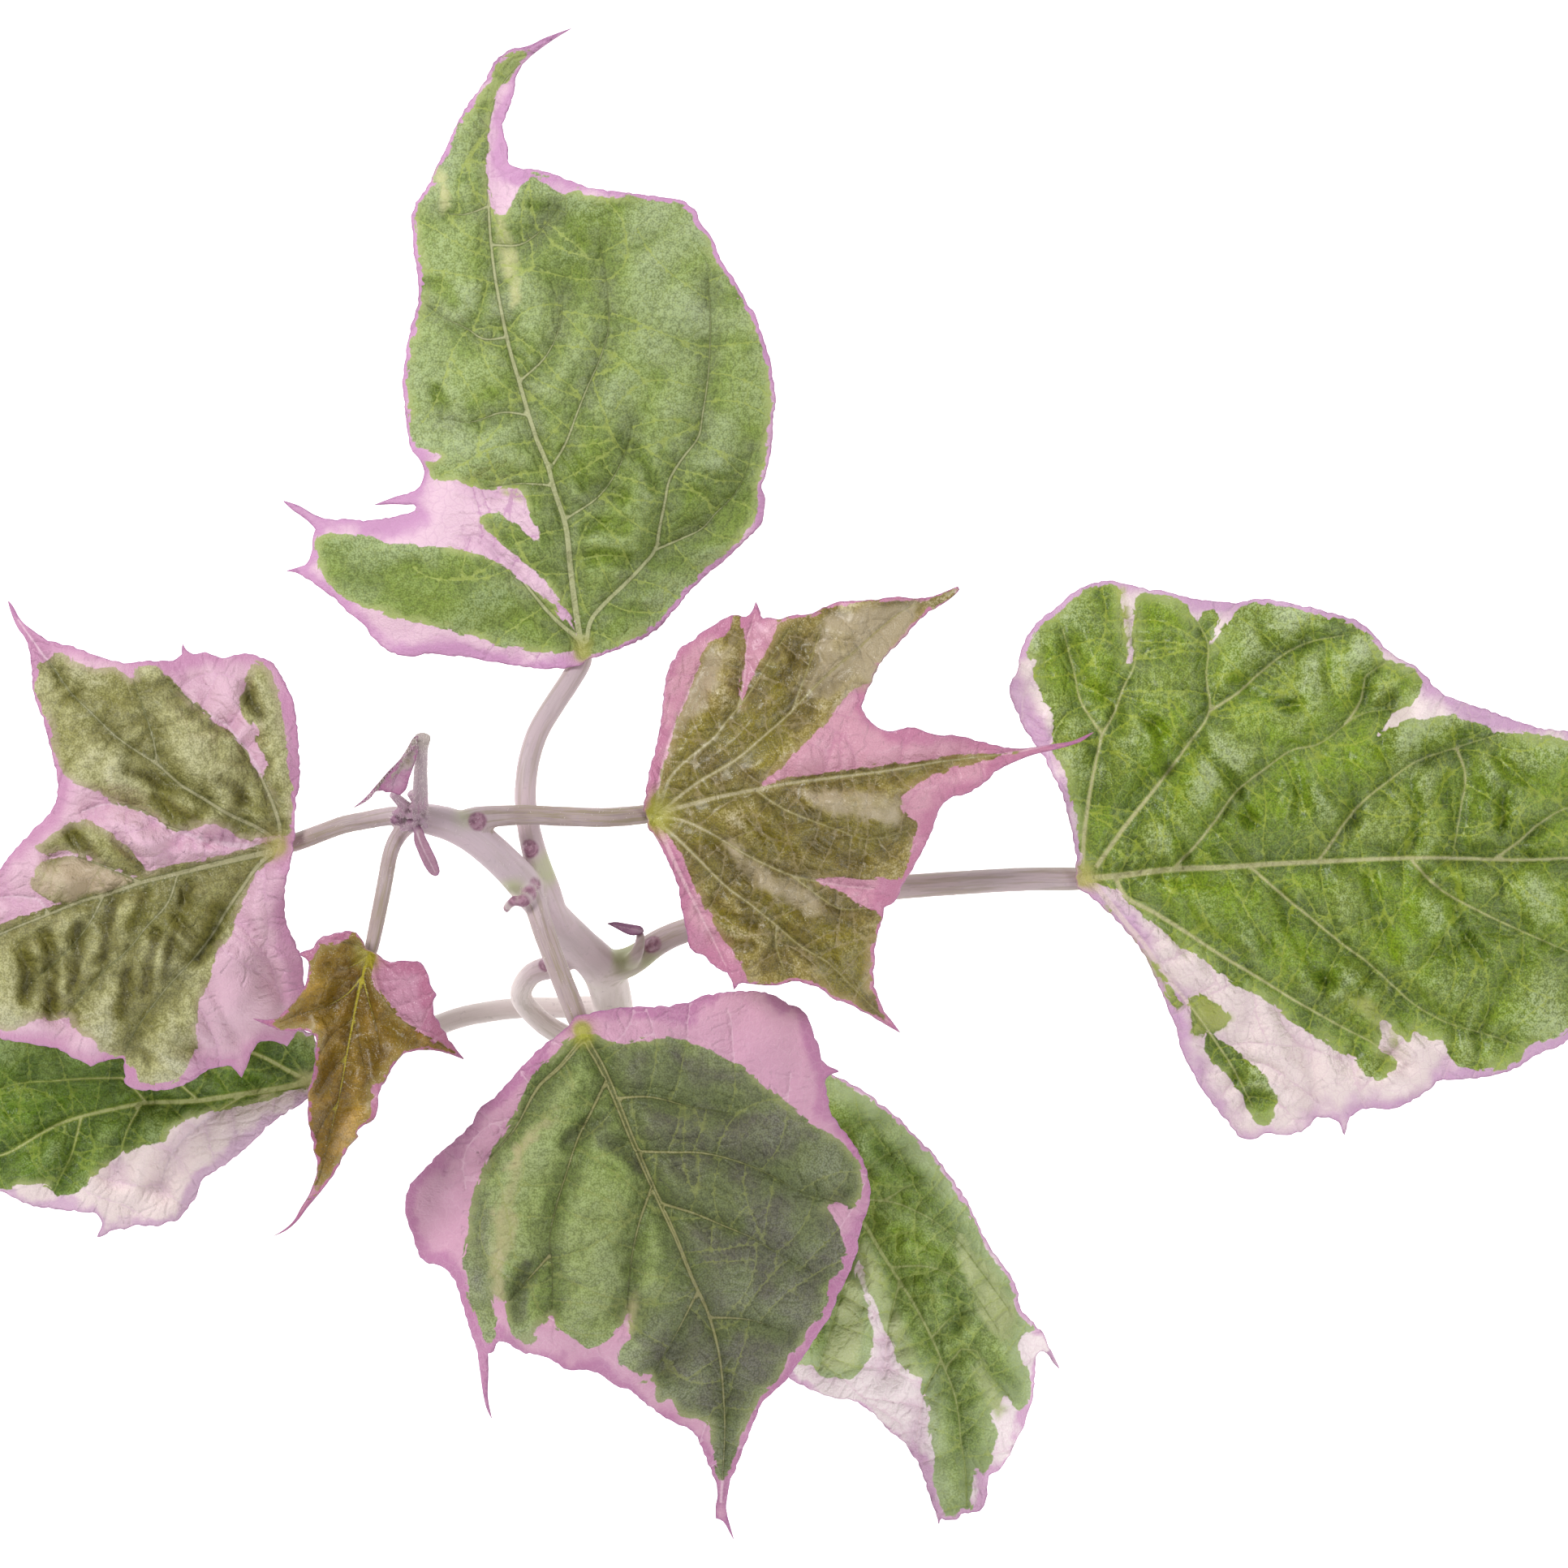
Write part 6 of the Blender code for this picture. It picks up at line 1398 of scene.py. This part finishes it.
stalks = [seated(leaf_name, stops, ends) for leaf_name, (stops, ends) in STALK_ROUTES.items()]
stem_mesh = grown_together("stem_and_stalks", [tube(STEM_ROUTE)] + [tube(stops) for stops in stalks]
                           + [tube(CURLED_BUD), tube(SIDE_SHOOT)] + [bud(*sizes) for sizes in AXIL_BUDS],
                           STEM_VOXEL, STEM_SMOOTHING)
stem_points = follow_routes(stem_mesh, [STEM_ROUTE] + stalks, STRIPES)
near_spots(stem_mesh, "bud", stem_points, [(x, y, z + BUD_LIFT, BUD_REACH) for x, y, z, _, _ in AXIL_BUDS]
           + CURLED_BUD + SIDE_SHOOT[3:])
near_spots(stem_mesh, "node", stem_points, NODE_SPOTS)
near_spots(stem_mesh, "low", stem_points, LOW_SPOTS)


def stem_tissue(name, tint):
    """The living skin of a soft stem: mauve over green, satin and finely ribbed lengthwise. It gives the eye
    tan-green stripes along each stalk, and dark mauve buds and scars."""
    skin, tree, shader = material(name, Roughness=0.5, IOR=1.4, Sheen_Weight=0.15, Sheen_Roughness=0.45,
                                  Sheen_Tint=linear("#f0e4ee"))
    smooth, colour = {"interpolation_type": "SMOOTHSTEP"}, {"data_type": "RGBA"}
    blend = {"operation": "MULTIPLY"}
    rows = [(key, "Attribute", {"attribute_name": key}, {})
            for key in ("grain", "stripe", "bud", "node", "low")]
    rows += [
        # Fibres run along the stalk: strands 0.5 mm wide and threads a third of that, both about 10 mm long.
        ("spot", "TexCoord", {}, {}),
        ("strands", "VectorMath", blend, ("grain:Vector", (1.4, 1.4, 0.07))),
        ("strand", "TexNoise", {}, {"Vector": "strands", "Scale": 1.9, "Detail": 3.0}),
        ("thread", "TexNoise", {}, {"Vector": "strands", "Scale": 5.5, "Detail": 2.0}),
        ("cloud", "TexNoise", {}, {"Vector": "spot:Object", "Scale": 220.0, "Detail": 2.0}),
        ("speck", "TexNoise", {}, {"Vector": "spot:Object", "Scale": 1500.0, "Detail": 2.0}),
        # Colour: blotches of mauve, tan and green stripes as strong as each stalk has them, pale low down,
        # partly the paler lower skin and partly painted light that lifts the shade under the leaves.
        ("blush_share", "MapRange", smooth, ("cloud", 0.35, 0.65, 0.0, 1.0)),
        ("blushed", "Mix", colour, {0: "blush_share", 6: tint["skin"], 7: tint["blush"]}),
        ("tan_cloud", "MapRange", smooth, ("cloud", 0.2, 0.7, 0.4, 0.8)),
        ("tan_share", "Math", blend, ("tan_cloud", "stripe:Fac")),
        ("tanned", "Mix", colour, {0: "tan_share", 6: "blushed", 7: tint["tan"]}),
        ("low_share", "MapRange", smooth, ("low:Fac", 0.0, 6.0, 0.8, 0.0)),
        ("lowered", "Mix", colour, {0: "low_share", 6: "tanned", 7: tint["low"]}),
        ("strand_band", "MapRange", smooth, ("strand", 0.45, 0.62, 0.0, 1.0)),
        ("strand_share", "Math", blend, ("strand_band", "stripe:Fac")),
        ("striped", "Mix", colour, {0: "strand_share", 6: "lowered", 7: tint["stripe"]}),
        ("thread_band", "MapRange", smooth, ("thread", 0.52, 0.68, 0.0, 0.45)),
        ("thread_share", "Math", blend, ("thread_band", "stripe:Fac")),
        ("threaded", "Mix", colour, {0: "thread_share", 6: "striped", 7: tint["thread"]}),
        # Nodes are tinted green, and buds and scars are dark mauve.
        ("node_round", "MapRange", smooth, ("node:Fac", -0.2, 2.2, 0.9, 0.0)),
        ("node_cloud", "MapRange", smooth, ("cloud", 0.2, 0.6, 0.5, 1.0)),
        ("node_share", "Math", blend, ("node_round", "node_cloud")),
        ("greened", "Mix", colour, {0: "node_share", 6: "threaded", 7: tint["node"]}),
        ("bud_mottle", "MapRange", smooth, ("speck", 0.4, 0.6, 0.0, 1.0)),
        ("bud_colour", "Mix", colour, {0: "bud_mottle", 6: tint["bud"], 7: tint["bud_light"]}),
        ("bud_share", "MapRange", smooth, ("bud:Fac", -0.1, 0.35, 0.95, 0.0)),
        ("budded", "Mix", colour, {0: "bud_share", 6: "greened", 7: "bud_colour"}),
        ("speck_share", "MapRange", smooth, ("speck", 0.62, 0.72, 0.0, 0.3)),
        ("finished", "Mix", colour, {0: "speck_share", 6: "budded", 7: tint["speck"]}),
        # Relief: the strands stand up as ribs 0.2 mm high, under a finely uneven skin.
        ("ribs", "Math", {"operation": "MULTIPLY_ADD"}, ("thread", 0.5, "strand")),
        ("rib_share", "Math", blend, ("ribs", "stripe:Fac")),
        ("lift", "Bump", {}, {"Height": "rib_share", "Strength": 0.4, "Distance": 0.00025}),
        ("skin_bump", "Bump", {},
         {"Height": "speck", "Normal": "lift", "Strength": 0.25, "Distance": 0.0001})]
    for name, kind, settings, inputs in rows:
        node(tree, name, kind, settings, inputs)
    for socket, source in (("Base Color", "finished"), ("Normal", "skin_bump")):
        tree.links.new(next(o for o in tree.nodes[source].outputs if o.enabled), shader.inputs[socket])
    return skin


stem_skin = stem_tissue("mauve_stem_skin", {
    "skin": "#c8b6bd", "blush": "#cfbac4", "tan": "#998777", "low": "#ece1df", "stripe": "#9a8c76",
    "thread": "#917d87", "node": "#b3b88e", "bud": "#865a70", "bud_light": "#a57b8e", "speck": "#a8979f"})
add_piece("stem_and_stalks", stem_mesh, stem_skin, "stem_skin", "main_stem", "stalk_top", "stalk_bottom",
          "stalk_mid", "stalk_left", "stalk_young", "stalk_low_right", "stalk_low_left", "stalk_right")

# The shoot's tip: a stalk that stands up behind the folded leaf, and a knot of mauve bud leaves round its
# foot, grown together as the stem is, with one long pink bud leaf below them.
TIP_STALK = stroke("518,1004,47.2,1.2 520,981,50.5,1 521,950,54.5,0.85 523,920,58.3,0.8 524,909,59.2,1.05")
TIP_SHOOTS = strokes("""
    508,1004,47.8,1.1 500,992,49.6,0.75 486,978,51.2,0.5 /
    506,1010,47.4,1.1 494,1010,48.4,0.75 486,1010,48.8,0.62 /
    512,1000,48,1.1 518,990,49.6,0.8 508,976,50.6,0.55 /
    514,1012,47.8,1 522,1008,48.6,0.85 528,1003,49,0.5""")
TIP_CURLS = strokes("""
    500,1004,49.4,0.55 492,1000,50,0.45 486,1003,50.2,0.32 /
    508,1012,49.2,0.55 503,1020,49.6,0.42 495,1022,49.6,0.3 /
    515,1008,49.4,0.5 523,1012,49.8,0.42 528,1020,49.6,0.3 /
    510,998,50,0.5 514,990,50.6,0.4 521,988,50.6,0.3 /
    504,1006,50,0.4 510,1004,50.6,0.4 515,1009,50.6,0.3""")
TIP_BUDS = stroke("""
    505,1002,49,0.6,0.75 512,1012,49.2,0.6,0.7 500,1016,48.4,0.55,0.6 494,1000,49.2,0.5,0.6
    516,1004,49.6,0.55,0.7 508,1020,48.6,0.55,0.6 498,988,50,0.45,0.6 488,1010,49.1,0.55,0.5
    512,996,49.9,0.45,0.6""")
BUD_LEAF = {
    "outline": stroke("""
      507,1018 512,1024 512,1034 515,1044 520,1056 526,1068 533,1077 541,1080 544,1074 541,1062 536,1050
      531,1040 526,1030 522,1020 516,1014"""),
    "midrib": stroke("514,1020 522,1042 538,1074"),
    "heights": stroke("512,1022,49.3 526,1048,49.8 540,1076,49 514,1040,49 534,1044,49"),
    "net": 12, "rib": 0.16, "pucker": 0.2, "quilt": 0.05, "swell": 0.1, "crinkle": 0.03, "ruffle": 0.1,
    "rim": 0.1,
    "ground": "pink"}
TIP_STRIPES = [0.7, 0.2, 0.2, 0.2, 0.2]
TIP_VOXEL = 0.12
TIP_SMOOTHING = 4

tip_tubes = [tube(stops) for stops in [TIP_STALK] + TIP_SHOOTS + TIP_CURLS]
tip_mesh = grown_together("shoot_tip_buds", tip_tubes + [bud(*sizes) for sizes in TIP_BUDS], TIP_VOXEL,
                          TIP_SMOOTHING)
tip_points = follow_routes(tip_mesh, [TIP_STALK] + TIP_SHOOTS, TIP_STRIPES)
near_spots(tip_mesh, "bud", tip_points, stroke("488,1010,49,0.7 507,1010,49.6,0.3 498,988,50,0.3"))
near_spots(tip_mesh, "node", tip_points, stroke("524,907,59.2,0.8 514,1004,48,0.2"))
near_spots(tip_mesh, "low", tip_points, stroke("527,940,56,3"))
tip_skin = stem_tissue("mauve_bud_skin", {
    "skin": "#b98ca6", "blush": "#a07c93", "tan": "#a3949a", "low": "#b3a4a8", "stripe": "#a08e94",
    "thread": "#9a7489", "node": "#a79c93", "bud": "#7d566e", "bud_light": "#99718a", "speck": "#d9bccb"})
add_piece("shoot_tip_buds", tip_mesh, tip_skin, "bud_skin", "shoot_tip")
bud_leaf_skin = leaf_tissue("pink_bud_leaf_tissue", dict(
    BASE_TINT, light="#a89c80", dark="#8c8064", bright="#9c9070", mottle="#9a8e6c", wax="#b8ac98",
    pink="#a87f92", cream="#bba6a4", cream_mm=0.6, blank_vein="#cfb6c0", pink_vein="#a87697", net=0.25,
    mesh=0.2, mesh_mm=0.6, heart="#b08aa0", heart_mm=0.8))
add_piece("bud_leaf", grow_blade("bud_leaf", BUD_LEAF, 113),
          bud_leaf_skin, "bud_skin")

# Down: short pale hairs on the folded leaf, the shoot's tip and the upper stem, each a single tapering cell.
# Real ones are about 0.02 mm thick and there are far more. They are drawn twice as thick, so that they show.
HAIR_LENGTH = 0.5
HAIR_RADIUS = 0.024
HAIR_TAPER = 0.15
HAIR_LEAN = 0.5
HAIR_RISE = 0.42
HAIR_COUNT = 1500
HAIR_SEED = 5
DOWN_FLOOR = 40.0


def downy(name, carriers):
    """Short hairs on the upper faces of other pieces, above the down's floor, each piece with its share."""
    draw = random.Random(HAIR_SEED)
    bm = bmesh.new()
    for mesh, share in carriers:
        faces = [face for face in mesh.polygons if face.center.z > DOWN_FLOOR * MM and face.normal.z > 0.1]
        sizes = [face.area for face in faces]
        for face in draw.choices(faces, sizes, k=round(HAIR_COUNT * share)):
            way = face.normal + Vector([draw.uniform(-HAIR_LEAN, HAIR_LEAN) for _ in range(3)])
            length = HAIR_LENGTH * draw.uniform(0.5, 1.2) * MM
            turn = way.to_track_quat("Z", "Y").to_matrix().to_4x4()
            turn.translation = face.center + way.normalized() * length * HAIR_RISE
            bmesh.ops.create_cone(bm, cap_ends=True, segments=3, radius1=HAIR_RADIUS * MM,
                                  radius2=HAIR_RADIUS * MM * HAIR_TAPER, depth=length, matrix=turn)
    mesh = bpy.data.meshes.new(name)
    bm.to_mesh(mesh)
    bm.free()
    return mesh


down_skin, _, _ = material("leaf_down", Base_Color=linear("#e6dcd9"), Roughness=0.7, Sheen_Weight=0.3)
down_carriers = [(bpy.data.objects["folded_leaf_front"].data, 0.35), (tip_mesh, 0.4), (stem_mesh, 0.15)]
add_piece("down_hairs", downy("down_hairs", down_carriers), down_skin, "bud_skin")
